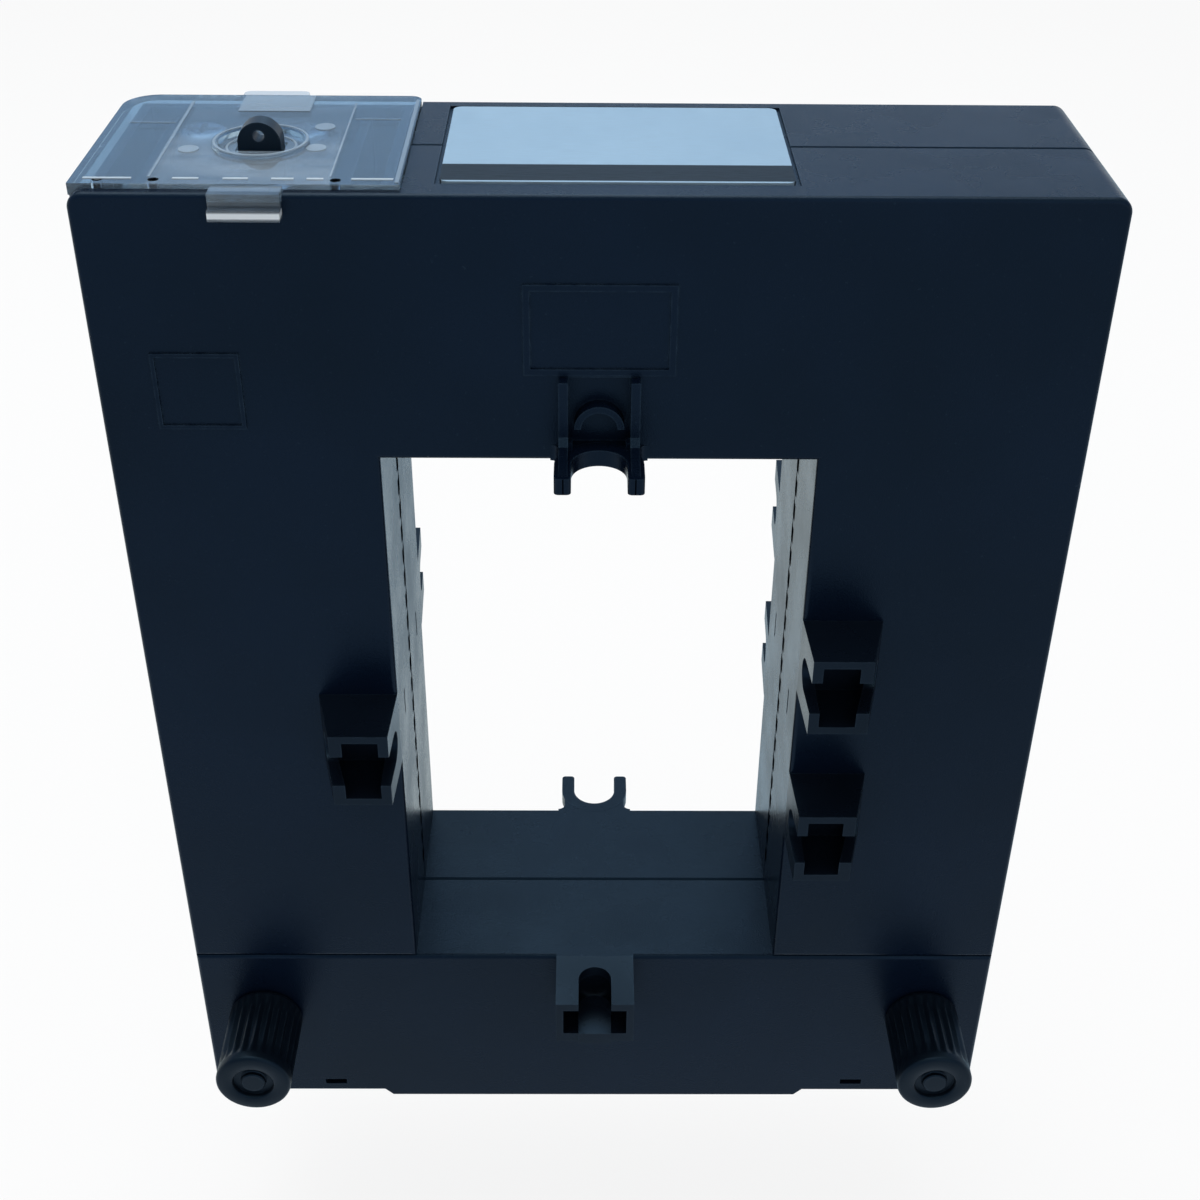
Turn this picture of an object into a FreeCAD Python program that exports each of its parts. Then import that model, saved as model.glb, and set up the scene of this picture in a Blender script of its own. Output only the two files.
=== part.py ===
"""Split-core current transformer with a rectangular busbar window.

An inverted U of laminated steel stands in a two-part moulded housing with a coil on each leg.
A yoke with the fourth limb of the core closes the window from below and is held by two
thumbscrews. Millimetres, +Z up. The origin is on the ground under the middle of the housing,
+X runs to the right and -Y to the front, where the thumbscrews are.
"""
import FreeCAD, Part
import math
import os

V = FreeCAD.Vector

# Housing and window
BODY_WIDTH = 114.0
BODY_DEPTH = 32.0
BODY_HEIGHT = 142.5
YOKE_HEIGHT = 29.5
WALL = 2.0
EDGE_ROUND = 1.2
TOP_CORNER = 1.8
SEAM_CHAMFER = 0.3
SEAM_STEP = 1.0
FIT_GAP = 0.1
FREE_GAP = 0.3

# Foot under the yoke
FOOT_WIDTH = 61.0
FOOT_DROP = 1.2

# Laminated core
CORE_LEG = 12.0
CORE_LIMB = 14.0
CORE_TOP_SEAT = 2.0
AIR_GAP = 0.05
RIB = 1.6
RIB_SEAT = 3.0
HOUSING_RIB_INSET = 7.5
YOKE_RIB_INSET = 5.5
YOKE_MIDDLE_RIB = 11.0

# Coils
BOBBIN_WALL = 1.0
BOBBIN_FLANGE = 1.5
WINDING_BUILD = 2.3
FLANGE_OVER_SIDE = 0.5
FLANGE_OVER_DEPTH = 1.1
COIL_END_GAP = 1.0
WIRE_RADIUS = 0.8
LINK_RISE = 9.0
LINK_BEND = 4.0
LINK_GAP = 1.0
LINK_INSET = 1.0
LINK_CHANNEL = 0.4

# Steel anchors that reach from the legs into the yoke
PLATE = 1.5
ANCHOR_GAP = 1.0
ANCHOR_BESIDE = 2.5
TONGUE_WIDTH = 8.2
TONGUE_BELOW_SCREW = 8.0
TONGUE_ROUND = 0.6
ANCHOR_INSIDE = 2.5

# Thumbscrews
SCREW_EDGE = 9.0
SCREW_Z = 17.5
STUD_RADIUS = 2.0
THREAD_CLEARANCE = 0.05
SHANK_CLEARANCE = 0.2
KNOB_RADIUS = 5.25
KNOB_LENGTH = 12.8
KNOB_GAP = 0.2
KNURLS = 20
KNURL_DEPTH = 0.4
KNOB_DISH_RADIUS = 2.7
KNOB_DISH_DEPTH = 0.8
KNOB_BAND = 1.1
STUD_SINK = 0.3
STUD_SHORT = 0.6
INSERT_FLOOR = 0.3
BOSS_RADIUS = 4.2
INSERT_RADIUS = 3.1
INSERT_LENGTH = 8.0
TONGUE_SLACK = 0.45

# Terminal compartment in the top of the housing
BAY_WIDTH = 35.0
TRAY_GAP = 0.3
BAY_STEP = 3.0
TRAY_DEPTH = 13.7
TRAY_WALL = 1.2
TRAY_FLOOR = 1.5
DECK_HEIGHT = 7.5
DECK_BEFORE_LUG = 0.7
TRAY_RIB_DROP = 1.2
TERMINAL_FROM_SIDE = (10.5, 22.4)
TERMINAL_WIDTH = 6.6
TERMINAL_FROM_REAR = 5.2
TERMINAL_LENGTH = 8.0
TERMINAL_SHEET = 1.0
TAIL_GAP = 1.6
TAIL_BELOW_BAY = 0.4
CLAMP_SCREW_RADIUS = 1.5
CLAMP_HEAD_RADIUS = 3.0
CLAMP_HEAD_HEIGHT = 2.2
CLAMP_DRIVER_SLOT = 0.8
CLAMP_DRIVER_DEPTH = 1.0
CLAMP_SHANK = 4.5
CLAMP_HOLE = 5.0
RIBS_FROM_SIDE = (6.5, 29.0)
LUG_FROM_SIDE = 18.7
LUG_BEFORE_TERMINALS = 2.95
LUG_WIDTH = 4.9
LUG_THICKNESS = 2.4
LUG_RISE = 3.3
LUG_EYE_RADIUS = 0.65
LUG_EYE_BELOW_TOP = 1.55

# Clear terminal cover
COVER_OVER_BAY = 0.5
COVER_RECESS = 0.8
COVER_SETBACK = 1.6
COVER_SHEET = 1.3
COVER_SKIRT = 1.2
COVER_CORNER = 4.0
COVER_SMALL_CORNER = 1.4
COVER_SEAT = 0.05
DISH_RADIUS = 5.5
DISH_RIM = 0.6
DISH_STEP = 0.4
TAB_FROM_SIDE = (15.3, 23.0)
REAR_TAB_FROM_SIDE = (13.8, 21.7)
TAB_SHEET = 0.9
REAR_TAB_SHEET = 1.6
REAR_TAB_CORNER = 0.8
TAB_DROP = 2.4
TAB_LIP = 1.2
TAB_LIP_OUT = 0.85
TAB_STEP = 0.2
RING_ROOT = 0.1
WIRE_HOLE_RADIUS = 0.6
WIRE_HOLE_INSET = 1.3
WIRE_HOLES_FROM_SIDE = (3.0, 9.0, 28.5)

# Rating plate
LABEL_FROM_COVER = 4.0
LABEL_WIDTH = 38.7
LABEL_FRONT_INSET = 4.0
LABEL_REAR_INSET = 2.5
LABEL_SHEET = 0.4
LABEL_SINK = 0.3
LABEL_MARGIN = 0.5
LABEL_CORNER = 1.0

# Bare holders moulded on the housing: notched shelf and two ribs
SHELF_WIDTH = 9.35
SHELF_FLARE = 1.0
SHELF_REACH = 8.0
SHELF_SHEET = 2.0
NOTCH_WIDTH = 7.05
NOTCH_START = 1.3
PRONG_ROUND = 0.5
HOLDER_RISE = 10.7
HOLDER_RIB = 1.1
HOLDER_STEP = 3.0
HOLDER_STEP_RISE = 0.8
HOLDER_STEP_REACH = 2.4
HOLDER_RIB_REACH = 1.5
HOLDER_TOOTH = 0.5
HOLDER_TOOTH_REACH = 1.3
HOLDER_ARC_RADIUS = 2.9
HOLDER_ARC_WALL = 0.8
HOLDER_ARC_AT = 4.4
HOLDER_ARC_REACH = 0.7
RECESS_DEPTH = 1.2

# Busbar clips that plug into the housing
CLIP_WIDTH = 10.95
CLIP_REACH = 8.8
CLIP_DEPTH = 10.0
CLIP_FRONT_DEPTH = 7.8
CLIP_DRAFT = 0.4
CLIP_SHEET = 1.7
CLIP_FAR_SHEET = 1.6
CLIP_WALL = 1.05
CLIP_SLOT = 4.6
CLIP_SLOT_START = 2.0
PEG_LENGTH = 1.8
PEG_WIDTH = 2.0
PEG_HEIGHT = 3.0
PEG_SPREAD = 3.2
PEG_DEPTH_AT = 5.0
PEG_FIT = 0.05
CLIP_OVER_MIDDLE_RIGHT = (12.45, -12.05)
CLIP_OVER_MIDDLE_LEFT = 0.8
TONGUE_PROUD = 0.4

# Small moulded details
VENT_Y = 9.0
VENT_HEIGHT = 4.0
VENT_WIDTH = 0.7
VENT_DEPTH = 0.6
PAD_WIDTH = 17.2
PAD_HEIGHT = 11.0
PAD_OVER_WINDOW = 11.0
PAD_FRAME = 0.8
PAD_RISE = 0.25
CORNER_PAD_FROM_SIDE = 6.5
CORNER_PAD_BELOW_TOP = 18.5
CORNER_PAD_WIDTH = 10.0
CORNER_PAD_HEIGHT = 9.5
CORNER_PAD_FRAME = 0.5
LATCH_FROM_SIDE = 18.0
LATCH_WIDTH = 3.2
LATCH_HEIGHT = 1.0
LATCH_DEPTH = 1.2
LATCH_FOOT = 1.2

# Places worked out from the sizes above, across the width
HALF_WIDTH = BODY_WIDTH / 2
COIL_SIDE = FIT_GAP + BOBBIN_WALL + WINDING_BUILD
BOBBIN_WIDTH = CORE_LEG + 2 * (COIL_SIDE + FLANGE_OVER_SIDE)
CORE_TO_SCREW = FREE_GAP + BOSS_RADIUS
LEG_WIDTH = WALL + FIT_GAP + (BOBBIN_WIDTH + CORE_LEG) / 2 + CORE_TO_SCREW + SCREW_EDGE
HALF_WINDOW = HALF_WIDTH - LEG_WIDTH
SCREW_X = HALF_WIDTH - SCREW_EDGE
CORE_OUTER_X = SCREW_X - CORE_TO_SCREW
CORE_INNER_X = CORE_OUTER_X - CORE_LEG
CORE_LEG_CENTRE = CORE_OUTER_X - CORE_LEG / 2
LATCH_X = HALF_WIDTH - LATCH_FROM_SIDE
HOUSING_RIBS = (HOUSING_RIB_INSET - HALF_WINDOW, 0.0, HALF_WINDOW - HOUSING_RIB_INSET)
OUTER_YOKE_RIB = CORE_LEG_CENTRE - YOKE_RIB_INSET
YOKE_RIBS = (-OUTER_YOKE_RIB, -YOKE_MIDDLE_RIB, YOKE_MIDDLE_RIB, OUTER_YOKE_RIB)
BAY_RIGHT = BAY_WIDTH - HALF_WIDTH
COVER_RIGHT = BAY_RIGHT + COVER_OVER_BAY
TERMINAL_X = tuple(across - HALF_WIDTH for across in TERMINAL_FROM_SIDE)
RIB_LINES = tuple(across - HALF_WIDTH for across in RIBS_FROM_SIDE)
LUG_X = LUG_FROM_SIDE - HALF_WIDTH
TAB_X = tuple(across - HALF_WIDTH for across in TAB_FROM_SIDE)
REAR_TAB_X = tuple(across - HALF_WIDTH for across in REAR_TAB_FROM_SIDE)
WIRE_HOLE_X = tuple(across - HALF_WIDTH for across in WIRE_HOLES_FROM_SIDE)
LABEL_X = (COVER_RIGHT + LABEL_FROM_COVER, COVER_RIGHT + LABEL_FROM_COVER + LABEL_WIDTH)

# Places worked out through the depth
HALF_DEPTH = BODY_DEPTH / 2
INSIDE_Y = HALF_DEPTH - WALL
HALF_BOBBIN_DEPTH = INSIDE_Y - COIL_END_GAP
CORE_DEPTH = 2 * (HALF_BOBBIN_DEPTH - FLANGE_OVER_DEPTH - COIL_SIDE)
LINK_Y = CORE_DEPTH / 2 + LINK_GAP + WIRE_RADIUS
TERMINAL_FRONT = HALF_DEPTH - TERMINAL_FROM_REAR - TERMINAL_LENGTH
LUG_Y = TERMINAL_FRONT - LUG_BEFORE_TERMINALS - LUG_THICKNESS / 2
DECK_FRONT = LUG_Y - LUG_THICKNESS / 2 - DECK_BEFORE_LUG
COVER_FRONT = COVER_SETBACK - HALF_DEPTH
LABEL_Y = (LABEL_FRONT_INSET - HALF_DEPTH, HALF_DEPTH - LABEL_REAR_INSET)

# Places worked out up the height
HEAD_HEIGHT = WALL + CORE_TOP_SEAT + CORE_LIMB + TRAY_GAP + TRAY_DEPTH
WINDOW_TOP = BODY_HEIGHT - HEAD_HEIGHT
WINDOW_HEIGHT = WINDOW_TOP - YOKE_HEIGHT
WINDOW_MIDDLE = YOKE_HEIGHT + WINDOW_HEIGHT / 2
LEG_FLOOR = YOKE_HEIGHT + WALL
POLE_Z = YOKE_HEIGHT - WALL
CORE_INNER_TOP = WINDOW_TOP + WALL + CORE_TOP_SEAT
CORE_TOP = CORE_INNER_TOP + CORE_LIMB
BOBBIN_FOOT = LEG_FLOOR + PLATE
BOBBIN_TOP = CORE_INNER_TOP - FIT_GAP
TONGUE_FOOT = SCREW_Z - TONGUE_BELOW_SCREW
BAY_FLOOR = BODY_HEIGHT - TRAY_DEPTH
LEDGE_Z = BODY_HEIGHT - BAY_STEP
DECK_Z = BAY_FLOOR + TRAY_FLOOR + DECK_HEIGHT
LUG_TOP = BODY_HEIGHT + LUG_RISE
COVER_BED = BODY_HEIGHT - COVER_RECESS
COVER_FOOT = COVER_BED + COVER_SEAT
COVER_TOP = COVER_FOOT + COVER_SHEET
PAD_FOOT = WINDOW_TOP + PAD_OVER_WINDOW
CLIP_HEIGHTS_RIGHT = tuple(WINDOW_MIDDLE + over for over in CLIP_OVER_MIDDLE_RIGHT)
CLIP_HEIGHT_LEFT = WINDOW_MIDDLE + CLIP_OVER_MIDDLE_LEFT
SIDES = {"left": -1, "right": 1}


def block(x0, x1, y0, y1, z0, z1):
    """A box between two corners."""
    return Part.makeBox(x1 - x0, y1 - y0, z1 - z0, V(x0, y0, z0))


def rod(radius, start, end):
    """A round bar from one point to another."""
    along = end - start
    return Part.makeCylinder(radius, along.Length, start, along)


def plate_xz(points, y0, y1):
    """An outline in the XZ plane, given depth from y0 to y1."""
    wire = Part.makePolygon([V(x, y0, z) for x, z in points + points[:1]])
    return Part.Face(wire).extrude(V(0, y1 - y0, 0))


def plate_yz(points, x0, x1):
    """An outline in the YZ plane, given width from x0 to x1."""
    wire = Part.makePolygon([V(x0, y, z) for y, z in points + points[:1]])
    return Part.Face(wire).extrude(V(x1 - x0, 0, 0))


def joined(first, *others):
    """One clean solid from pieces that meet."""
    return first.fuse(list(others)).removeSplitter()


def rounded(shape, radius, chosen):
    """Fillets the edges whose middle point passes a test."""
    edges = [edge for edge in shape.Edges if chosen(edge)]
    return shape.makeFillet(radius, edges) if edges else shape


def lies_along(edge, direction):
    """True for a straight edge parallel to a direction."""
    if not isinstance(edge.Curve, (Part.Line, Part.LineSegment)):
        return False
    return abs(edge.tangentAt(edge.FirstParameter).dot(direction)) > 0.999


def middle(edge):
    """The point halfway along an edge."""
    return edge.valueAt((edge.FirstParameter + edge.LastParameter) / 2)


def at_plane(edge, axis, value):
    """True when both ends and the middle of an edge lie in a plane across one axis."""
    points = [vertex.Point for vertex in edge.Vertexes] + [middle(edge)]
    return all(abs(point[axis] - value) < 1e-4 for point in points)


def place_on_window(shape, wall, face, along):
    """Moves a piece drawn for the window's foot at the front to another wall or face."""
    turned = shape.copy()
    if face == "rear":
        turned.rotate(V(0, 0, 0), V(0, 0, 1), 180)
    turned.rotate(V(0, 0, 0), V(0, 1, 0), {"bottom": 0, "right": -90, "left": 90, "top": 180}[wall])
    y = HALF_DEPTH if face == "rear" else -HALF_DEPTH
    seat = {
        "bottom": V(along, y, YOKE_HEIGHT),
        "top": V(along, y, WINDOW_TOP),
        "right": V(HALF_WINDOW, y, along),
        "left": V(-HALF_WINDOW, y, along),
    }
    turned.translate(seat[wall])
    return turned


def arch(inset, y0, y1, foot):
    """The inverted U of the housing, drawn in by an inset all round."""
    outer = HALF_WIDTH - inset
    inner = HALF_WINDOW + inset
    top = BODY_HEIGHT - inset
    window = WINDOW_TOP + inset
    points = [(-outer, foot), (-outer, top), (outer, top), (outer, foot)]
    points += [(inner, foot), (inner, window), (-inner, window), (-inner, foot)]
    return plate_xz(points, y0, y1)


def yoke_bar(inset, y0, y1):
    """The yoke's outline with its low foot in the middle, drawn in by an inset."""
    side = HALF_WIDTH - inset
    low = FOOT_DROP + inset
    top = YOKE_HEIGHT - inset
    points = [(-side, low), (-side, top), (side, top), (side, low)]
    if inset == 0:
        foot = FOOT_WIDTH / 2
        points += [(foot + FOOT_DROP, low), (foot, 0), (-foot, 0), (-foot - FOOT_DROP, low)]
    return plate_xz(points, y0, y1)


def moulded_edges(shape, outer_face):
    """Softens the rim of the outer face and chamfers the seam of one housing half."""
    def rim(edge):
        return at_plane(edge, 1, outer_face)

    def seam(edge):
        spot = middle(edge)
        on_side = abs(abs(spot.x) - HALF_WIDTH) < 1e-4
        in_window = abs(abs(spot.x) - HALF_WINDOW) < 1e-4 and spot.z > YOKE_HEIGHT
        level = any(abs(spot.z - z) < 1e-4 for z in (BODY_HEIGHT, WINDOW_TOP))
        return at_plane(edge, 1, 0) and (on_side or in_window or level or near_corner(spot))

    def near_corner(spot):
        return abs(spot.x) > HALF_WIDTH - TOP_CORNER and spot.z > BODY_HEIGHT - TOP_CORNER

    cornered = rounded(shape, TOP_CORNER, lambda edge: lies_along(edge, V(0, 1, 0)) and near_corner(middle(edge)))
    softened = cornered.makeFillet(EDGE_ROUND / 2, [edge for edge in cornered.Edges if rim(edge)])
    return softened.makeChamfer(SEAM_CHAMFER, [edge for edge in softened.Edges if seam(edge)])


def bare_holder():
    """Notched shelf with two ribs, and the shallow recess between the ribs, as two shapes."""
    half = SHELF_WIDTH / 2
    flared = half + SHELF_FLARE
    shelf = block(-half, half, -SHELF_REACH, EDGE_ROUND / 2, -SHELF_SHEET, 0)
    shelf = shelf.fuse(block(-flared, flared, -SHELF_FLARE, EDGE_ROUND / 2, -SHELF_SHEET, 0))
    for side in (-1, 1):
        shelf = shelf.cut(Part.makeCylinder(SHELF_FLARE, SHELF_SHEET, V(side * flared, -SHELF_FLARE, -SHELF_SHEET)))
    radius = NOTCH_WIDTH / 2
    centre = NOTCH_START + radius
    notch = Part.makeCylinder(radius, SHELF_SHEET, V(0, -centre, -SHELF_SHEET))
    notch = notch.fuse(block(-radius, radius, -SHELF_REACH, -centre, -SHELF_SHEET, 0))
    shelf = shelf.cut(notch)
    shelf = rounded(shelf, PRONG_ROUND, lambda edge: lies_along(edge, V(0, 0, 1))
                    and middle(edge).y < -SHELF_REACH + 1e-4)
    tip = PRONG_ROUND - SHELF_REACH
    profile = [(0, 0), (tip, -SHELF_SHEET / 2), (tip, -SHELF_SHEET), (-HOLDER_STEP_REACH, -HOLDER_STEP)]
    bend = -HOLDER_STEP - HOLDER_STEP_RISE
    profile += [(-HOLDER_RIB_REACH, bend), (-HOLDER_RIB_REACH, -HOLDER_RISE), (0, -HOLDER_RISE)]
    ribs = [plate_yz(profile, half - HOLDER_RIB, half), plate_yz(profile, -half, HOLDER_RIB - half)]
    inside = half - HOLDER_RIB
    teeth = [block(side * inside - HOLDER_TOOTH, side * inside + HOLDER_TOOTH, -HOLDER_TOOTH_REACH, 0,
                   -HOLDER_STEP, -SHELF_SHEET) for side in (-1, 1)]
    centre = V(0, RECESS_DEPTH, -HOLDER_ARC_AT)
    radius = HOLDER_ARC_RADIUS
    arc = Part.makeCylinder(radius, HOLDER_ARC_REACH + RECESS_DEPTH, centre, V(0, -1, 0))
    arc = arc.cut(Part.makeCylinder(radius - HOLDER_ARC_WALL, SHELF_REACH, centre, V(0, -1, 0)))
    arc = arc.cut(block(-radius, radius, -radius, radius, -HOLDER_ARC_AT, 0))
    recess = block(-inside, inside, 0, RECESS_DEPTH, -HOLDER_RISE, -SHELF_SHEET)
    return joined(shelf, *ribs, *teeth), arc, recess


def with_bare_holder(shell, wall, face):
    """Adds one bare holder to a shell and sinks the recess behind it."""
    holder, arc, recess = [place_on_window(shape, wall, face, 0) for shape in bare_holder()]
    return joined(shell.cut(recess), holder, arc)


def clip_pegs(grow):
    """The two pegs of a clip, or with some growth the pockets that take them."""
    pegs = []
    for side in (-1, 1):
        centre = side * PEG_SPREAD
        half = PEG_WIDTH / 2 + grow
        deep = PEG_DEPTH_AT
        pegs.append(block(centre - half, centre + half, 0, PEG_LENGTH + grow,
                          -deep - PEG_HEIGHT / 2 - grow, -deep + PEG_HEIGHT / 2 + grow))
    return pegs


def slot_cutter():
    """The slot through both plates of a clip: open in front, round at its inner end."""
    radius = CLIP_SLOT / 2
    centre = CLIP_SLOT_START + radius
    cutter = Part.makeCylinder(radius, CLIP_DEPTH, V(0, -centre, -CLIP_DEPTH))
    return cutter.fuse(block(-radius, radius, -CLIP_REACH, -centre, -CLIP_DEPTH, 0))


def window_clip():
    """Busbar clip: two slotted plates with a channel for a nut between them, and two pegs."""
    half = CLIP_WIDTH / 2
    outline = [(0, 0), (-CLIP_REACH, -CLIP_DRAFT), (-CLIP_REACH, -CLIP_FRONT_DEPTH), (0, -CLIP_DEPTH)]
    far = CLIP_FAR_SHEET
    channel = [(-CLIP_WALL, -CLIP_SHEET), (-CLIP_REACH, -CLIP_SHEET), (-CLIP_REACH, far - CLIP_FRONT_DEPTH),
               (-CLIP_WALL, far - CLIP_DEPTH)]
    inner = half - CLIP_WALL
    body = plate_yz(outline, -half, half).cut(plate_yz(channel, -inner, inner)).cut(slot_cutter())
    return joined(body, *clip_pegs(0))


def bottom_clip():
    """The clip at the window's foot, whose far slot is filled by a round-ended tongue."""
    half = CLIP_SLOT / 2
    front = -CLIP_REACH - TONGUE_PROUD
    centre = -CLIP_SLOT_START - half
    level = -CLIP_FRONT_DEPTH
    rise = CLIP_FAR_SHEET + TONGUE_PROUD
    tongue = block(-half, half, front, centre, level, level + rise)
    tongue = tongue.fuse(Part.makeCylinder(half, rise, V(0, centre, level)))
    return joined(window_clip(), tongue)


def core_rib(x, sign, foot, seat, top):
    """A rib that carries the core from below and from the side of one housing half."""
    outer = sign * INSIDE_Y
    beside = sign * (CORE_DEPTH / 2 + FIT_GAP)
    reach = sign * (CORE_DEPTH / 2 - RIB_SEAT)
    points = [(outer, foot), (reach, foot), (reach, seat), (beside, seat), (beside, top), (outer, top)]
    return plate_yz(points, x - RIB / 2, x + RIB / 2)


def housing_half(sign):
    """One half of the upper housing: sign -1 is the front, +1 the rear."""
    y0, y1 = sorted((0, sign * HALF_DEPTH))
    shell = arch(0, y0, y1, YOKE_HEIGHT)
    shell = moulded_edges(shell, sign * HALF_DEPTH)
    i0, i1 = sorted((0, sign * INSIDE_Y))
    shell = shell.cut(arch(WALL, i0, i1, LEG_FLOOR))
    if sign < 0:
        lip = arch(WALL / 2, 0, SEAM_STEP, LEG_FLOOR).cut(arch(WALL, 0, SEAM_STEP, LEG_FLOOR))
        shell = shell.fuse(lip)
    else:
        step = SEAM_STEP + FIT_GAP
        groove = arch(WALL / 2 - FIT_GAP, 0, step, LEG_FLOOR).cut(arch(WALL, 0, step, LEG_FLOOR))
        shell = shell.cut(groove)
    ribs = []
    foot = WINDOW_TOP + WALL
    for x in HOUSING_RIBS:
        ribs.append(core_rib(x, sign, foot, CORE_INNER_TOP, CORE_TOP))
    if sign > 0:
        ribs = [rib.cut(link_channel()) for rib in ribs]
    shell = joined(shell, *ribs)
    for side in SIDES.values():
        shell = shell.cut(leg_openings(side, YOKE_HEIGHT, LEG_FLOOR))
    shell = cut_bay(shell, sign)
    shell = shell.cut(block(LABEL_X[0] - LABEL_MARGIN, LABEL_X[1] + LABEL_MARGIN,
                            LABEL_Y[0] - LABEL_MARGIN, LABEL_Y[1] + LABEL_MARGIN,
                            BODY_HEIGHT - LABEL_SINK, BODY_HEIGHT + 1))
    for side in SIDES.values():
        shell = shell.cut(window_vent(side, sign))
    face = "front" if sign < 0 else "rear"
    shell = with_bare_holder(shell, "top", face)
    for height in CLIP_HEIGHTS_RIGHT:
        shell = cut_pockets(shell, "right", face, height)
    shell = cut_pockets(shell, "left", face, CLIP_HEIGHT_LEFT)
    if sign < 0:
        shell = joined(shell, *front_pads())
    return shell


def cut_pockets(shell, wall, face, along):
    """Squares the rim behind a clip and cuts the two pockets that take its pegs."""
    half = CLIP_WIDTH / 2
    corner = block(-half, half, 0, EDGE_ROUND / 2, -EDGE_ROUND / 2, 0)
    shell = joined(shell, place_on_window(corner, wall, face, along))
    for pocket in clip_pegs(PEG_FIT):
        shell = shell.cut(place_on_window(pocket, wall, face, along))
    return shell


def cut_bay(shell, sign):
    """Opens the top for the terminal tray and lowers the walls under the cover and its skirt."""
    above = BODY_HEIGHT + 1
    tray = block(-HALF_WIDTH + WALL, BAY_RIGHT - FREE_GAP, -INSIDE_Y, INSIDE_Y, BAY_FLOOR, above)
    left = block(-HALF_WIDTH - 1, -HALF_WIDTH + WALL, -INSIDE_Y, HALF_DEPTH + 1, LEDGE_Z, above)
    shell = shell.cut(tray).cut(left)
    if sign > 0:
        shell = shell.cut(block(-HALF_WIDTH - 1, BAY_RIGHT, INSIDE_Y, HALF_DEPTH + 1, LEDGE_Z, above))
    edge = COVER_FRONT - FIT_GAP
    bed = block(-HALF_WIDTH - 1, COVER_RIGHT + FIT_GAP, edge, HALF_DEPTH + 1, COVER_BED, above)
    notch = block(TAB_X[0] - FIT_GAP, TAB_X[1] + FIT_GAP, -HALF_DEPTH - 1, edge, COVER_BED, above)
    return shell.cut(bed).cut(notch)


def window_vent(side, sign):
    """A small upright slot in the window's side wall, halfway up."""
    x0, x1 = sorted((side * (HALF_WINDOW - 1), side * (HALF_WINDOW + VENT_DEPTH)))
    y = sign * VENT_Y
    z = WINDOW_MIDDLE
    wide = VENT_WIDTH / 2
    return block(x0, x1, y - wide, y + wide, z - VENT_HEIGHT / 2, z + VENT_HEIGHT / 2)


def pad_frame(x0, x1, z0, z1, frame):
    """A low raised frame on the front, left bare inside."""
    face = -HALF_DEPTH
    outer = block(x0, x1, face - PAD_RISE, face + EDGE_ROUND, z0, z1)
    return outer.cut(block(x0 + frame, x1 - frame, face - 1, face + EDGE_ROUND, z0 + frame, z1 - frame))


def front_pads():
    """The frame over the window and the smaller one near the upper left corner."""
    half = PAD_WIDTH / 2
    left = CORNER_PAD_FROM_SIDE - HALF_WIDTH
    top = BODY_HEIGHT - CORNER_PAD_BELOW_TOP
    return [
        pad_frame(-half, half, PAD_FOOT, PAD_FOOT + PAD_HEIGHT, PAD_FRAME),
        pad_frame(left, left + CORNER_PAD_WIDTH, top - CORNER_PAD_HEIGHT, top, CORNER_PAD_FRAME),
    ]


def leg_openings(side, z0, z1):
    """Holes for one core leg and its anchor's tongue, through a floor from z0 to z1."""
    x = side * CORE_LEG_CENTRE
    wide = CORE_LEG / 2 + SHANK_CLEARANCE
    deep = CORE_DEPTH / 2 + SHANK_CLEARANCE
    leg = block(x - wide, x + wide, -deep, deep, z0, z1)
    half = TONGUE_WIDTH / 2 + SHANK_CLEARANCE
    thick = PLATE / 2 + SHANK_CLEARANCE
    tongue = block(side * SCREW_X - half, side * SCREW_X + half, -thick, thick, z0, z1)
    return leg.fuse(tongue)


def yoke_half(sign):
    """One half of the yoke's casing: sign -1 is the front, +1 the rear."""
    y0, y1 = sorted((0, sign * HALF_DEPTH))
    shell = yoke_bar(0, y0, y1)
    shell = yoke_edges(shell, sign * HALF_DEPTH)
    i0, i1 = sorted((0, sign * INSIDE_Y))
    shell = shell.cut(yoke_bar(WALL, i0, i1))
    bosses = []
    ribs = []
    for side in SIDES.values():
        start = V(side * SCREW_X, sign * (PLATE / 2 + TONGUE_SLACK), SCREW_Z)
        bosses.append(rod(BOSS_RADIUS, start, V(side * SCREW_X, sign * INSIDE_Y, SCREW_Z)))
    floor = FOOT_DROP + WALL
    for x in YOKE_RIBS:
        ribs.append(core_rib(x, sign, floor, POLE_Z - CORE_LIMB, POLE_Z))
    shell = joined(shell, *ribs, *bosses)
    for side in SIDES.values():
        shell = shell.cut(leg_openings(side, POLE_Z, YOKE_HEIGHT))
        shell = shell.cut(screw_passage(side, sign))
    if sign < 0:
        shell = cut_pockets(shell, "bottom", "front", 0)
        low = FOOT_DROP + LATCH_FOOT
        for side in SIDES.values():
            x0 = side * LATCH_X - LATCH_WIDTH / 2
            shell = shell.cut(block(x0, x0 + LATCH_WIDTH, -HALF_DEPTH - 1, -HALF_DEPTH + LATCH_DEPTH,
                                    low, low + LATCH_HEIGHT))
    else:
        shell = with_bare_holder(shell, "bottom", "rear")
    return shell


def yoke_edges(shape, outer_face):
    """Softens the outer rim of a yoke half and chamfers its seam on top and sides."""
    def rim(edge):
        return at_plane(edge, 1, outer_face) and middle(edge).z > FOOT_DROP + 1e-4

    def seam(edge):
        spot = middle(edge)
        on_side = abs(abs(spot.x) - HALF_WIDTH) < 1e-4
        return at_plane(edge, 1, 0) and (on_side or abs(spot.z - YOKE_HEIGHT) < 1e-4)

    softened = shape.makeFillet(EDGE_ROUND / 2, [edge for edge in shape.Edges if rim(edge)])
    return softened.makeChamfer(SEAM_CHAMFER, [edge for edge in softened.Edges if seam(edge)])


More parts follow.
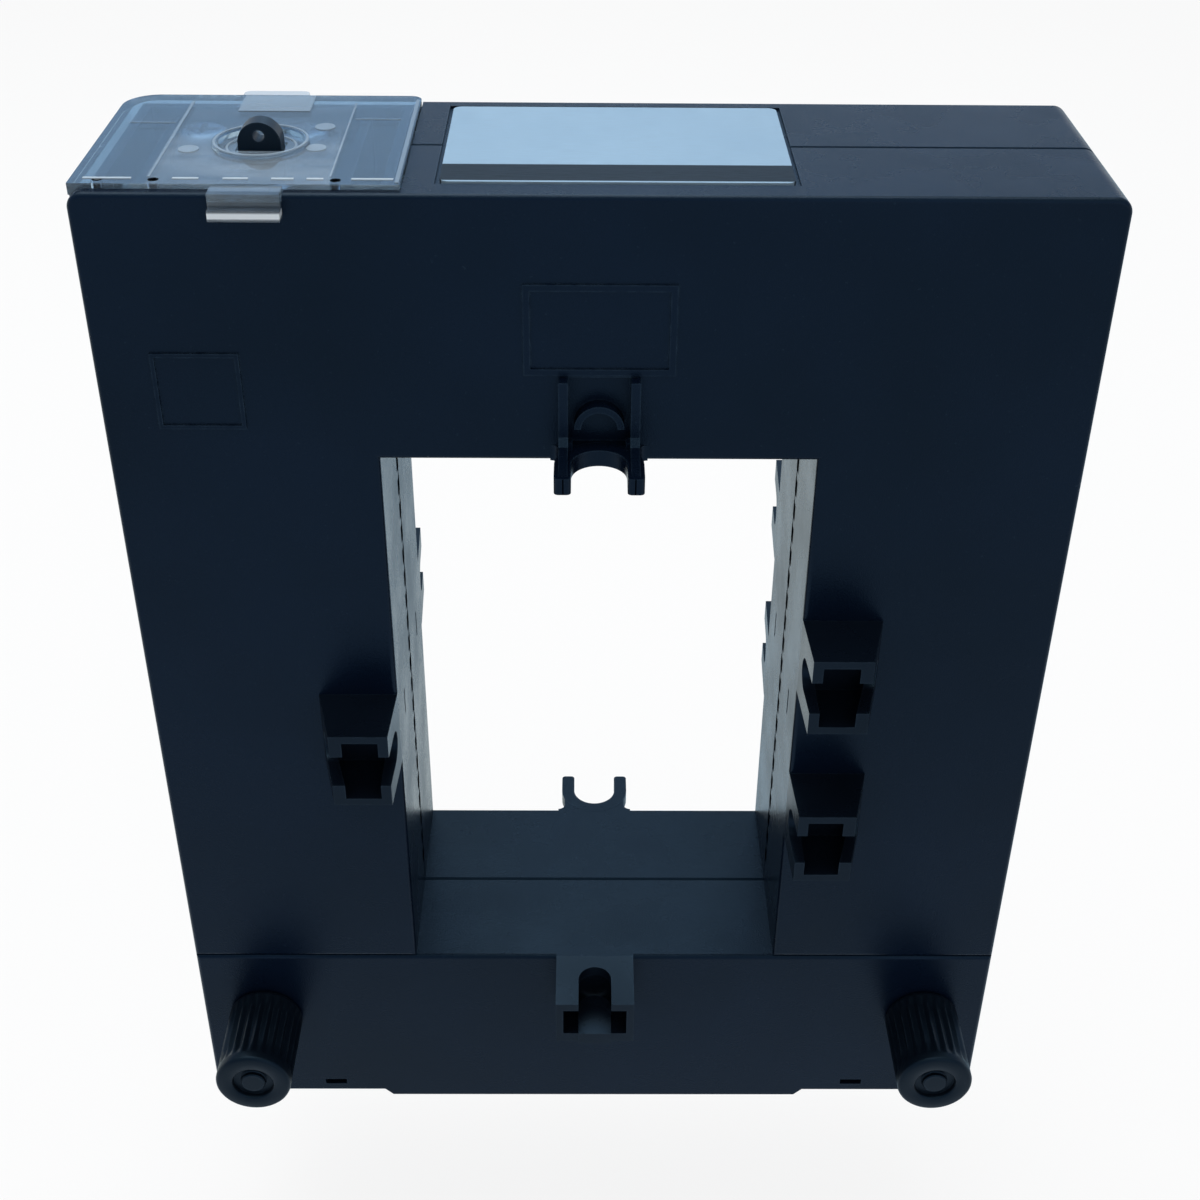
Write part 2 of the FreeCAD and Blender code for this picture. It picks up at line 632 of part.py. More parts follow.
def screw_passage(side, sign):
    """Bore through the front boss, or the blind seat of the brass insert in the rear boss."""
    start = sign * (PLATE / 2 + TONGUE_SLACK)
    if sign > 0:
        return hexagon(side, INSERT_RADIUS, start, start + INSERT_LENGTH)
    x = side * SCREW_X
    return rod(STUD_RADIUS + SHANK_CLEARANCE, V(x, start, SCREW_Z), V(x, -HALF_DEPTH, SCREW_Z))


def u_core():
    """Laminated U: two legs that reach through the floor to the yoke's core, and the top limb."""
    foot = POLE_Z + AIR_GAP
    points = [(-CORE_OUTER_X, foot), (-CORE_OUTER_X, CORE_TOP)]
    points += [(CORE_OUTER_X, CORE_TOP), (CORE_OUTER_X, foot)]
    points += [(CORE_INNER_X, foot), (CORE_INNER_X, CORE_INNER_TOP)]
    points += [(-CORE_INNER_X, CORE_INNER_TOP), (-CORE_INNER_X, foot)]
    return plate_xz(points, -CORE_DEPTH / 2, CORE_DEPTH / 2)


def yoke_core():
    """Straight bar of laminations that closes the magnetic loop."""
    half = CORE_DEPTH / 2
    return block(-CORE_OUTER_X, CORE_OUTER_X, -half, half, POLE_Z - CORE_LIMB, POLE_Z)


def bobbin(side):
    """Rectangular coil former with a flange at each end."""
    x = side * CORE_LEG_CENTRE
    wide = CORE_LEG / 2 + FIT_GAP
    deep = CORE_DEPTH / 2 + FIT_GAP
    tube = block(x - wide - BOBBIN_WALL, x + wide + BOBBIN_WALL, -deep - BOBBIN_WALL, deep + BOBBIN_WALL,
                 BOBBIN_FOOT, BOBBIN_TOP)
    side_reach = BOBBIN_WIDTH / 2
    flanges = [block(x - side_reach, x + side_reach, -HALF_BOBBIN_DEPTH, HALF_BOBBIN_DEPTH, z,
                     z + BOBBIN_FLANGE) for z in (BOBBIN_FOOT, BOBBIN_TOP - BOBBIN_FLANGE)]
    former = joined(tube, *flanges)
    return former.cut(block(x - wide, x + wide, -deep, deep, BOBBIN_FOOT, BOBBIN_TOP))


def winding(side):
    """Wound copper wire as one closed ring with rounded corners."""
    x = side * CORE_LEG_CENTRE
    wide = CORE_LEG / 2 + FIT_GAP + BOBBIN_WALL
    deep = CORE_DEPTH / 2 + FIT_GAP + BOBBIN_WALL
    z0 = BOBBIN_FOOT + BOBBIN_FLANGE
    z1 = BOBBIN_TOP - BOBBIN_FLANGE
    grown = WINDING_BUILD
    ring = block(x - wide - grown, x + wide + grown, -deep - grown, deep + grown, z0, z1)
    ring = rounded(ring, WINDING_BUILD, lambda edge: lies_along(edge, V(0, 0, 1)))
    return ring.cut(block(x - wide, x + wide, -deep, deep, z0, z1))


def leg_anchor(side):
    """Steel plate round a core leg with a forked tongue that straddles the thumbscrew."""
    inner = side * (CORE_INNER_X - ANCHOR_INSIDE)
    outer = side * (HALF_WIDTH - WALL - ANCHOR_GAP)
    x0, x1 = sorted((inner, outer))
    beside = CORE_DEPTH / 2 + ANCHOR_BESIDE
    plate = block(x0, x1, -beside, beside, LEG_FLOOR, LEG_FLOOR + PLATE)
    wide = CORE_LEG / 2 + FIT_GAP
    deep = CORE_DEPTH / 2 + FIT_GAP
    x = side * CORE_LEG_CENTRE
    plate = plate.cut(block(x - wide, x + wide, -deep, deep, LEG_FLOOR, LEG_FLOOR + PLATE))
    centre = side * SCREW_X
    half = TONGUE_WIDTH / 2
    tongue = block(centre - half, centre + half, -PLATE / 2, PLATE / 2, TONGUE_FOOT, LEG_FLOOR)
    slot = STUD_RADIUS + SHANK_CLEARANCE
    fork = block(centre - slot, centre + slot, -PLATE, PLATE, TONGUE_FOOT, SCREW_Z)
    fork = fork.fuse(rod(slot, V(centre, -PLATE, SCREW_Z), V(centre, PLATE, SCREW_Z)))
    tongue = tongue.cut(fork)
    tongue = rounded(tongue, TONGUE_ROUND, lambda edge: lies_along(edge, V(0, 1, 0))
                     and middle(edge).z < TONGUE_FOOT + 1e-4)
    return joined(plate, tongue)


def thumb_knob(side):
    """Knurled knob with a smooth front band and a dished face round the stud."""
    x = side * SCREW_X
    back = -HALF_DEPTH - KNOB_GAP
    front = back - KNOB_LENGTH
    band = KNOB_BAND
    points = []
    for step in range(2 * KNURLS):
        radius = KNOB_RADIUS - (KNURL_DEPTH if step % 2 else 0)
        turn = math.pi * step / KNURLS
        points.append((x + radius * math.sin(turn), SCREW_Z + radius * math.cos(turn)))
    grip = plate_xz(points, front + band, back)
    face = rod(KNOB_RADIUS, V(x, front, SCREW_Z), V(x, front + band, SCREW_Z))
    knob = joined(grip, face)
    dish = rod(KNOB_DISH_RADIUS, V(x, front, SCREW_Z), V(x, front + KNOB_DISH_DEPTH, SCREW_Z))
    bore = rod(STUD_RADIUS, V(x, front, SCREW_Z), V(x, back, SCREW_Z))
    return knob.cut(dish).cut(bore)


def thumb_stud(side):
    """Threaded stud of a thumbscrew, from the knob's dish into the brass insert."""
    x = side * SCREW_X
    start = -HALF_DEPTH - KNOB_GAP - KNOB_LENGTH + STUD_SINK
    end = PLATE / 2 + TONGUE_SLACK + INSERT_LENGTH - STUD_SHORT
    return rod(STUD_RADIUS, V(x, start, SCREW_Z), V(x, end, SCREW_Z))


def hexagon(side, radius, y0, y1):
    """Hexagonal bar on the axis of one thumbscrew."""
    points = []
    for corner in range(6):
        turn = math.pi * corner / 3
        points.append((side * SCREW_X + radius * math.cos(turn), SCREW_Z + radius * math.sin(turn)))
    return plate_xz(points, y0, y1)


def brass_insert(side):
    """Hexagonal threaded sleeve pressed into the rear boss of the yoke."""
    x = side * SCREW_X
    start = PLATE / 2 + TONGUE_SLACK
    sleeve = hexagon(side, INSERT_RADIUS, start, start + INSERT_LENGTH)
    bore = STUD_RADIUS + THREAD_CLEARANCE
    end = start + INSERT_LENGTH - INSERT_FLOOR
    return sleeve.cut(rod(bore, V(x, start, SCREW_Z), V(x, end, SCREW_Z)))


def terminal_tray():
    """Moulded tray with a raised deck for the terminals, dividing ribs and the sealing lug."""
    x0 = -HALF_WIDTH + WALL + FIT_GAP
    x1 = BAY_RIGHT - FREE_GAP - FIT_GAP
    y = INSIDE_Y - FIT_GAP
    floor = BAY_FLOOR + FIT_GAP
    rim = COVER_BED - COVER_SEAT
    tray = block(x0, x1, -y, y, floor, rim)
    inside = y - TRAY_WALL
    tray = tray.cut(block(x0 + TRAY_WALL, x1 - TRAY_WALL, -inside, inside, floor + TRAY_FLOOR, rim))
    deck = block(RIB_LINES[0], RIB_LINES[1], DECK_FRONT, y, floor, DECK_Z)
    low = rim - TRAY_RIB_DROP
    thick = TRAY_WALL / 2
    ribs = [block(x - thick, x + thick, -y, y, floor, low) for x in RIB_LINES]
    between = sum(TERMINAL_X) / 2
    barrier = block(between - thick, between + thick, TERMINAL_FRONT, y, floor, low)
    tray = joined(tray, deck, *ribs, barrier, sealing_lug())
    for x in TERMINAL_X:
        tray = tray.cut(tail_slot(x))
        y = terminal_middle()
        hole = rod(CLAMP_SCREW_RADIUS, V(x, y, DECK_Z - CLAMP_HOLE), V(x, y, DECK_Z))
        tray = tray.cut(hole)
    return tray


def sealing_lug():
    """Round-topped lug with an eye for a sealing wire."""
    half = LUG_WIDTH / 2
    y0 = LUG_Y - LUG_THICKNESS / 2
    y1 = LUG_Y + LUG_THICKNESS / 2
    foot = DECK_Z - 1
    crown = LUG_TOP - half
    lug = block(LUG_X - half, LUG_X + half, y0, y1, foot, crown)
    lug = lug.fuse(rod(half, V(LUG_X, y0, crown), V(LUG_X, y1, crown)))
    eye = LUG_TOP - LUG_EYE_BELOW_TOP
    return lug.cut(rod(LUG_EYE_RADIUS, V(LUG_X, y0 - 1, eye), V(LUG_X, y1 + 1, eye))).removeSplitter()


def terminal_middle():
    """How far back the screw of a terminal stands."""
    return TERMINAL_FRONT + TERMINAL_LENGTH / 2


def tail_slot(x):
    """The slot in the tray that takes the tail of one terminal."""
    y0 = TERMINAL_FRONT + TERMINAL_LENGTH
    half = TERMINAL_WIDTH / 4 + PEG_FIT
    return block(x - half, x + half, y0 - PEG_FIT, y0 + TAIL_GAP + PEG_FIT, BAY_FLOOR, DECK_Z)


def terminal_plate(x):
    """Bent terminal: a flat tab under the screw and a tail through the tray's floor."""
    half = TERMINAL_WIDTH / 2
    y0 = TERMINAL_FRONT
    y1 = y0 + TERMINAL_LENGTH
    top = DECK_Z + TERMINAL_SHEET
    tab = block(x - half, x + half, y0, y1 + TAIL_GAP, DECK_Z, top)
    tail = block(x - half / 2, x + half / 2, y1, y1 + TAIL_GAP, BAY_FLOOR - TAIL_BELOW_BAY, DECK_Z)
    hole = rod(CLAMP_SCREW_RADIUS, V(x, terminal_middle(), DECK_Z), V(x, terminal_middle(), top))
    return joined(tab, tail).cut(hole)


def terminal_screw(x):
    """Slotted clamp screw on a terminal."""
    y = terminal_middle()
    seat = DECK_Z + TERMINAL_SHEET
    shank = rod(CLAMP_SCREW_RADIUS, V(x, y, DECK_Z - CLAMP_SHANK), V(x, y, seat))
    head = rod(CLAMP_HEAD_RADIUS, V(x, y, seat), V(x, y, seat + CLAMP_HEAD_HEIGHT))
    top = seat + CLAMP_HEAD_HEIGHT
    half = CLAMP_DRIVER_SLOT / 2
    wide = CLAMP_HEAD_RADIUS
    slot = block(x - wide, x + wide, y - half, y + half, top - CLAMP_DRIVER_DEPTH, top)
    return joined(shank, head).cut(slot)


def cover_outline(inset, z0, z1):
    """The cover's plan with its two rounded rear corners, drawn in by an inset."""
    x0 = -HALF_WIDTH + inset
    y1 = HALF_DEPTH - inset
    sheet = block(x0, COVER_RIGHT, COVER_FRONT, y1, z0, z1)
    if inset == 0:
        sheet = rounded(sheet, COVER_SMALL_CORNER, lambda edge: lies_along(edge, V(0, 0, 1))
                        and middle(edge).x > COVER_RIGHT - 1e-4 and middle(edge).y > y1 - 1e-4)
    radius = COVER_CORNER - inset
    return rounded(sheet, radius, lambda edge: lies_along(edge, V(0, 0, 1))
                   and abs(middle(edge).x - x0) < 1e-4 and abs(middle(edge).y - y1) < 1e-4)


def terminal_cover():
    """Clear cover: flat sheet, skirt on two sides, spring tabs, lug slot and a ring round it."""
    foot = LEDGE_Z + COVER_SEAT
    shell = cover_outline(0, foot, COVER_TOP)
    shell = shell.cut(cover_outline(COVER_SKIRT, foot, COVER_FOOT))
    right = COVER_RIGHT + 1
    left = -HALF_WIDTH - 1
    shell = shell.cut(block(left, right, COVER_FRONT - 1, -INSIDE_Y + FIT_GAP, foot, COVER_FOOT))
    shell = shell.cut(block(BAY_RIGHT - FIT_GAP, right, -HALF_DEPTH, HALF_DEPTH + 1, foot, COVER_FOOT))
    shell = joined(shell, *cover_tabs())
    root = V(LUG_X, LUG_Y, COVER_TOP - RING_ROOT)
    ring = Part.makeCylinder(DISH_RADIUS, DISH_STEP + RING_ROOT, root)
    ring = ring.cut(Part.makeCylinder(DISH_RADIUS - DISH_RIM, DISH_STEP + RING_ROOT, root))
    shell = joined(shell, ring)
    dish = Part.makeCylinder(DISH_RADIUS - DISH_RIM, DISH_STEP, V(LUG_X, LUG_Y, COVER_TOP - DISH_STEP))
    half = LUG_WIDTH / 2 + FREE_GAP
    deep = LUG_THICKNESS / 2 + FREE_GAP
    slot = block(LUG_X - half, LUG_X + half, LUG_Y - deep, LUG_Y + deep, foot, COVER_TOP + 1)
    shell = shell.cut(dish).cut(slot)
    for x in WIRE_HOLE_X:
        y = COVER_FRONT + WIRE_HOLE_INSET
        shell = shell.cut(rod(WIRE_HOLE_RADIUS, V(x, y, COVER_FOOT), V(x, y, COVER_TOP)))
    return shell


def cover_tabs():
    """The hooked tab over the front of the housing and the broad one over the rear."""
    x0, x1 = TAB_X
    near = -HALF_DEPTH - FIT_GAP / 2
    far = near - TAB_SHEET
    foot = BODY_HEIGHT - TAB_DROP
    top = COVER_TOP - TAB_STEP
    tabs = [
        block(x0, x1, far, COVER_FRONT + 1, COVER_FOOT, top),
        block(x0, x1, far, near, foot, top),
        block(x0, x1, far - TAB_LIP_OUT, near, foot, foot + TAB_LIP),
    ]
    reach = HALF_DEPTH + REAR_TAB_SHEET
    rear = block(REAR_TAB_X[0], REAR_TAB_X[1], HALF_DEPTH - COVER_SKIRT, reach, foot, COVER_TOP)
    tabs.append(rounded(rear, REAR_TAB_CORNER, lambda edge: lies_along(edge, V(0, 0, 1))
                        and middle(edge).y > reach - 1e-4))
    return tabs


def rating_label():
    """Thin plate in the shallow recess on top, without any marking."""
    z = BODY_HEIGHT - LABEL_SINK
    plate = block(LABEL_X[0], LABEL_X[1], LABEL_Y[0], LABEL_Y[1], z, z + LABEL_SHEET)
    return rounded(plate, LABEL_CORNER, lambda edge: lies_along(edge, V(0, 0, 1)))


def straight_lead(x):
    """Lead from the left coil up to the tail of one terminal."""
    y = TERMINAL_FRONT + TERMINAL_LENGTH + TAIL_GAP / 2
    return rod(WIRE_RADIUS, V(x, y, BOBBIN_TOP), V(x, y, BAY_FLOOR - TAIL_BELOW_BAY))


def link_channel():
    """The clear way for the coil link through the ribs of the rear half."""
    grow = WIRE_RADIUS + LINK_CHANNEL
    z = BOBBIN_TOP + LINK_RISE
    return block(-CORE_INNER_X, CORE_INNER_X, LINK_Y - grow, LINK_Y + grow, z - grow, z + grow)


def coil_link():
    """Square strip that joins the two coils in series behind the top limb."""
    reach = CORE_INNER_X + LINK_INSET
    low = BOBBIN_TOP
    high = low + LINK_RISE
    inner = reach - 2 * WIRE_RADIUS
    top = high + WIRE_RADIUS
    bend = LINK_BEND
    outside = [(-reach, low), (-reach, top - bend), (bend - reach, top)]
    inside = [(-inner, low), (-inner, top - bend), (bend - reach, top - 2 * WIRE_RADIUS)]
    points = outside + [(-x, z) for x, z in reversed(outside)]
    points += [(-x, z) for x, z in inside] + list(reversed(inside))
    return plate_xz(points, LINK_Y - WIRE_RADIUS, LINK_Y + WIRE_RADIUS)


def clips():
    """The busbar clips, each turned and moved to its place."""
    side_clip = window_clip()
    placed = {}
    for face in ("front", "rear"):
        for name, height in zip(("upper", "lower"), CLIP_HEIGHTS_RIGHT):
            placed[f"right_{name}_{face}_clip"] = place_on_window(side_clip, "right", face, height)
        placed[f"left_{face}_clip"] = place_on_window(side_clip, "left", face, CLIP_HEIGHT_LEFT)
    placed["bottom_front_clip"] = place_on_window(bottom_clip(), "bottom", "front", 0)
    return placed


def all_nodes():
    """Every sub-part of the transformer by name."""
    nodes = {
        "front_shell": housing_half(-1),
        "rear_shell": housing_half(1),
        "yoke_front_shell": yoke_half(-1),
        "yoke_rear_shell": yoke_half(1),
        "u_core": u_core(),
        "yoke_core": yoke_core(),
        "terminal_tray": terminal_tray(),
        "terminal_cover": terminal_cover(),
        "rating_label": rating_label(),
        "coil_link": coil_link(),
    }
    for name, side in SIDES.items():
        nodes[f"{name}_bobbin"] = bobbin(side)
        nodes[f"{name}_winding"] = winding(side)
        nodes[f"{name}_leg_anchor"] = leg_anchor(side)
        nodes[f"{name}_thumb_knob"] = thumb_knob(side)
        nodes[f"{name}_thumb_stud"] = thumb_stud(side)
        nodes[f"{name}_insert"] = brass_insert(side)
    for name, x in zip(("left", "right"), TERMINAL_X):
        nodes[f"{name}_terminal_plate"] = terminal_plate(x)
        nodes[f"{name}_terminal_screw"] = terminal_screw(x)
        nodes[f"{name}_coil_lead"] = straight_lead(x)
    nodes.update(clips())
    return nodes


def main():
    """Builds every sub-part, reports it and writes its STEP file."""
    os.makedirs("parts", exist_ok=True)
    for name, shape in all_nodes().items():
        solids = shape.Solids
        box = shape.BoundBox
        print(f"{name}: {len(solids)} solid(s), {shape.Volume / 1000:.2f} cm3, valid {shape.isValid()}, "
              f"{box.XLength:.1f} x {box.YLength:.1f} x {box.ZLength:.1f} mm")
        shape.exportStep(f"parts/{name}.step")


main()
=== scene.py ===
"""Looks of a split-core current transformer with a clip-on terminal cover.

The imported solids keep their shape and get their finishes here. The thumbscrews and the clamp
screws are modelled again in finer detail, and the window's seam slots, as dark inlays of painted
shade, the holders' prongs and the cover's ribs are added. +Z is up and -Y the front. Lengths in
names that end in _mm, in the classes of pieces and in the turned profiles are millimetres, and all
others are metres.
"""
import logging
import math
from collections.abc import Iterable, Sequence
from dataclasses import dataclass
from enum import Enum

import bmesh
import bpy
from mathutils import Matrix, Vector

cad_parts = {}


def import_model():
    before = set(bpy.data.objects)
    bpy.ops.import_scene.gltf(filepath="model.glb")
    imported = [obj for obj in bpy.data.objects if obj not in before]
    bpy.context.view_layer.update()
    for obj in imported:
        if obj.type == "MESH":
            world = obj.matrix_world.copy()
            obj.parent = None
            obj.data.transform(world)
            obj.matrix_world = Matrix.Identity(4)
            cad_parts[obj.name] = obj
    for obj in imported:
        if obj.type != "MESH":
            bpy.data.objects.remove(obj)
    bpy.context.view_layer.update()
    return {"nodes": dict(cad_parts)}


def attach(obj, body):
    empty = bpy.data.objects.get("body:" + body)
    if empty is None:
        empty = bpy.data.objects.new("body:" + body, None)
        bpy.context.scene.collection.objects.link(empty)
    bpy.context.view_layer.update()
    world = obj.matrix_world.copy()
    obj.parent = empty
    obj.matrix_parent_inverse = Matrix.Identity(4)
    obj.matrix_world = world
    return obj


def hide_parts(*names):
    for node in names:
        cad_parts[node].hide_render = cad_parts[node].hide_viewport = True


LOG = logging.getLogger("transformer")
MM = 0.001
MERGE_MM = 1e-4
SHARP_DEG = 32.0
WHITE = (1.0, 1.0, 1.0)
DENSE = (0.3, 0.7)
UP = (0, 0, 1)
Triple = tuple[float, float, float]
Colour = Triple
Span = tuple[float, float]
Socket = bpy.types.NodeSocket
Nodes = dict[str, bpy.types.Object]


class Side(Enum):
    """The two sides of the transformer, with the sign of X on each."""

    LEFT = -1
    RIGHT = 1

    @property
    def word(self) -> str:
        """The side's name as node names start with it."""
        return self.name.lower()


class Grain(Enum):
    """How fine the surface of a moulding is: size of its grain per metre and depth in metres."""

    ERODED = (5200.0, 0.000035)
    SATIN = (9000.0, 0.000012)
    POLISHED = (2500.0, 0.000003)

    @property
    def scale(self) -> float:
        """How many grains there are to the metre."""
        return self.value[0]

    @property
    def depth(self) -> float:
        """How deep the grain is, in metres."""
        return self.value[1]


def shade(text: str) -> Colour:
    """Turns a colour written as six hex digits into linear light.

    Args:
        text: Six hex digits, red, green and blue.

    Returns:
        The colour's three linear values.
    """
    parts = [int(text[start:start + 2], 16) / 255 for start in (0, 2, 4)]
    red, green, blue = (part / 12.92 if part <= 0.04045 else ((part + 0.055) / 1.055) ** 2.4
                        for part in parts)
    return (red, green, blue)


def in_metres(span_mm: Span) -> Span:
    """Turns two lengths in millimetres into metres.

    Args:
        span_mm: The lengths.

    Returns:
        Both in metres.
    """
    return (span_mm[0] * MM, span_mm[1] * MM)


def scaled(colour: Colour, factor: float) -> Colour:
    """Makes a colour darker or lighter.

    Args:
        colour: The colour.
        factor: What each part is multiplied by, up to full light.

    Returns:
        The changed colour.
    """
    red, green, blue = (min(1.0, part * factor) for part in colour)
    return (red, green, blue)


class NodeBench:
    """A node tree, with short ways to add and join its nodes."""

    def __init__(self, owner: bpy.types.ID) -> None:
        """Empties the node tree.

        Args:
            owner: The material or world whose nodes they are.
        """
        owner.use_nodes = True
        self.tree = owner.node_tree
        self.tree.nodes.clear()

    def node(self, kind: str, sockets: dict[str | int, object], **settings: object) -> bpy.types.Node:
        """Adds a node.

        Args:
            kind: The node's type name.
            sockets: Values or other nodes' sockets for its inputs, by name or number.
            **settings: The node's own settings.

        Returns:
            The new node.
        """
        made = self.tree.nodes.new(kind)
        for key, value in settings.items():
            setattr(made, key, value)
        for key, value in sockets.items():
            if isinstance(value, Socket):
                self.tree.links.new(value, made.inputs[key])
            else:
                made.inputs[key].default_value = value
        return made

    def ranged(self, value: Socket, span: Span, low: float, high: float) -> Socket:
        """Maps a value from one range to another, clamped.

        Args:
            value: The socket to map.
            span: Values that give low and high.
            low: Result at the span's start.
            high: Result at its end.

        Returns:
            The socket with the result.
        """
        sockets = {"Value": value, "From Min": span[0], "From Max": span[1],
                   "To Min": low, "To Max": high}
        return self.node("ShaderNodeMapRange", sockets).outputs["Result"]

    def mixed(self, share: Socket, first: Colour | Socket, second: Colour | Socket) -> Socket:
        """Mixes two colours.

        Args:
            share: How much of the second colour shows.
            first: Colour or socket.
            second: Colour or socket.

        Returns:
            The socket with the mixed colour.
        """
        pair = [value if isinstance(value, Socket) else (*value, 1.0) for value in (first, second)]
        made = self.node("ShaderNodeMix", {0: share, 6: pair[0], 7: pair[1]}, data_type="RGBA")
        return made.outputs[2]

    def maths(self, how: str, first: float | Socket, *others: float | Socket) -> Socket:
        """Joins values by one operation, from the first on.

        Args:
            how: The operation's name.
            first: Value or socket.
            *others: More values or sockets, none for an operation on one value.

        Returns:
            The socket with the result.
        """
        for other in others or (0.0,):
            first = self.node("ShaderNodeMath", {0: first, 1: other}, operation=how).outputs[0]
        return first

    def dot(self, first: Socket, second: Socket | Triple) -> Socket:
        """Adds a dot product.

        Args:
            first: A vector's socket.
            second: A vector or its socket.

        Returns:
            The socket with the product.
        """
        made = self.node("ShaderNodeVectorMath", {0: first, 1: second}, operation="DOT_PRODUCT")
        return made.outputs["Value"]

    def axes(self, vector: Socket) -> bpy.types.bpy_prop_collection:
        """Splits a vector.

        Args:
            vector: The vector's socket.

        Returns:
            The sockets of its three parts, by axis.
        """
        return self.node("ShaderNodeSeparateXYZ", {0: vector}).outputs

    def rays(self) -> bpy.types.bpy_prop_collection:
        """Tells which kind of ray looks at the surface.

        Returns:
            The sockets that are 1 for their kind of ray, by name.
        """
        return self.node("ShaderNodeLightPath", {}).outputs

    def looked_at(self) -> Socket:
        """Finds what is seen directly, mirrored or through something clear.

        Returns:
            The socket that is 1 there and 0 for plain light.
        """
        rays = self.rays()
        kinds = ("Is Camera Ray", "Is Glossy Ray", "Is Transmission Ray")
        return self.maths("MAXIMUM", *(rays[kind] for kind in kinds))


class Bench(NodeBench):
    """The node tree of one material."""

    def __init__(self, name: str) -> None:
        """Starts a material with one Principled shader.

        Args:
            name: The material's name.
        """
        self.material = bpy.data.materials.new(name)
        super().__init__(self.material)
        self.shader = self.node("ShaderNodeBsdfPrincipled", {})
        self.output = self.node("ShaderNodeOutputMaterial", {"Surface": self.shader.outputs["BSDF"]})
        self.spot = self.node("ShaderNodeTexCoord", {}).outputs["Object"]

    def finish(self, **values: object) -> None:
        """Sets sockets of the shader.

        Args:
            **values: Value or socket by the input's name, with spaces written as underscores.
        """
        for key, value in values.items():
            target = self.shader.inputs[key.replace("_", " ")]
            if isinstance(value, Socket):
                self.tree.links.new(value, target)
            else:
                target.default_value = value

    def stretched(self, scale: Triple, turn: Triple = (0.0, 0.0, 0.0)) -> Socket:
        """Gives the object coordinates, stretched along the axes.

        Args:
            scale: Factor along each axis.
            turn: Turn about each axis in radians.

        Returns:
            The socket with the changed coordinates.
        """
        sockets = {"Vector": self.spot, "Scale": scale, "Rotation": turn}
        return self.node("ShaderNodeMapping", sockets).outputs[0]

    def noise(self, scale: float, detail: float, spot: Socket | None = None) -> Socket:
        """Adds a noise.

        Args:
            scale: How fine it is, per metre.
            detail: How many finer layers it has.
            spot: Coordinates, if not the object's own.

        Returns:
            The socket with values from 0 to 1.
        """
        sockets = {"Vector": spot or self.spot, "Scale": scale, "Detail": detail}
        return self.node("ShaderNodeTexNoise", sockets).outputs["Fac"]

    def edges(self, radius_mm: float, start: float, end: float) -> Socket:
        """Finds the edges of the piece.

        Args:
            radius_mm: How far an edge reaches over the surface.
            start: Bend of the rounded normal at which an edge starts to count.
            end: Bend at which it counts in full.

        Returns:
            The socket that is 1 on edges and 0 elsewhere.
        """
        rounded = self.node("ShaderNodeBevel", {"Radius": radius_mm * MM}, samples=4)
        flat = self.node("ShaderNodeNewGeometry", {}).outputs["Normal"]
        return self.ranged(self.dot(rounded.outputs[0], flat), (1.0 - start, 1.0 - end), 0.0, 1.0)

    def bump(self, height: Socket, depth: float) -> None:
        """Turns a height into a bent normal and wires it to the shader.

        Args:
            height: Values from 0 to 1.
            depth: What 1 stands for, in metres.
        """
        sockets = {"Height": height, "Distance": depth, "Strength": 1.0}
        self.finish(Normal=self.node("ShaderNodeBump", sockets).outputs["Normal"])


@dataclass(frozen=True)
class MouldedPlastic:
    """Black moulding compound with the grain of its tool and paler edges, partly wear and partly a
    painted highlight.
    """

    name: str
    colour: Colour
    pale_wear_and_highlight: Colour
    grain: Grain
    roughness: float
    specular: float
    cloud: float = 0.25
    tint: Colour = (0.42, 0.7, 1.0)
    index: float = 1.5
    cloud_scale: float = 38.0
    patch_scale: float = 110.0
    wear_scale: float = 900.0
    speck_scale: float = 2600.0
    edge_mm: float = 0.35

    def build(self) -> bpy.types.Material:
        """Makes the material.

        Returns:
            The material.
        """
        bench = Bench(self.name)
        drift = bench.ranged(bench.noise(self.cloud_scale, 3.0), DENSE, 0.0, 1.0)
        dark, light = (scaled(self.colour, 1.0 + swing) for swing in (-self.cloud, self.cloud))
        body = bench.mixed(drift, dark, light)
        # Paler edges: partly wear, partly a painted highlight where the edges would catch the light. The
        # specks take the same light colour.
        breaks = bench.ranged(bench.noise(self.wear_scale, 4.0), (0.35, 0.65), 0.15, 1.0)
        worn_and_highlight = bench.maths("MULTIPLY", bench.edges(self.edge_mm, 0.02, 0.22), breaks)
        specks = bench.ranged(bench.noise(self.speck_scale, 1.0), (0.74, 0.8), 0.0, 0.35)
        for share in (specks, worn_and_highlight):
            body = bench.mixed(share, body, self.pale_wear_and_highlight)
        low, high = self.roughness - 0.05, self.roughness + 0.06
        patches = bench.ranged(bench.noise(self.patch_scale, 5.0), DENSE, low, high)
        bench.finish(Base_Color=body, Roughness=patches, Specular_IOR_Level=self.specular,
                     Specular_Tint=(*self.tint, 1.0), IOR=self.index)
        bench.bump(bench.noise(self.grain.scale, 3.0), self.grain.depth)
        return bench.material


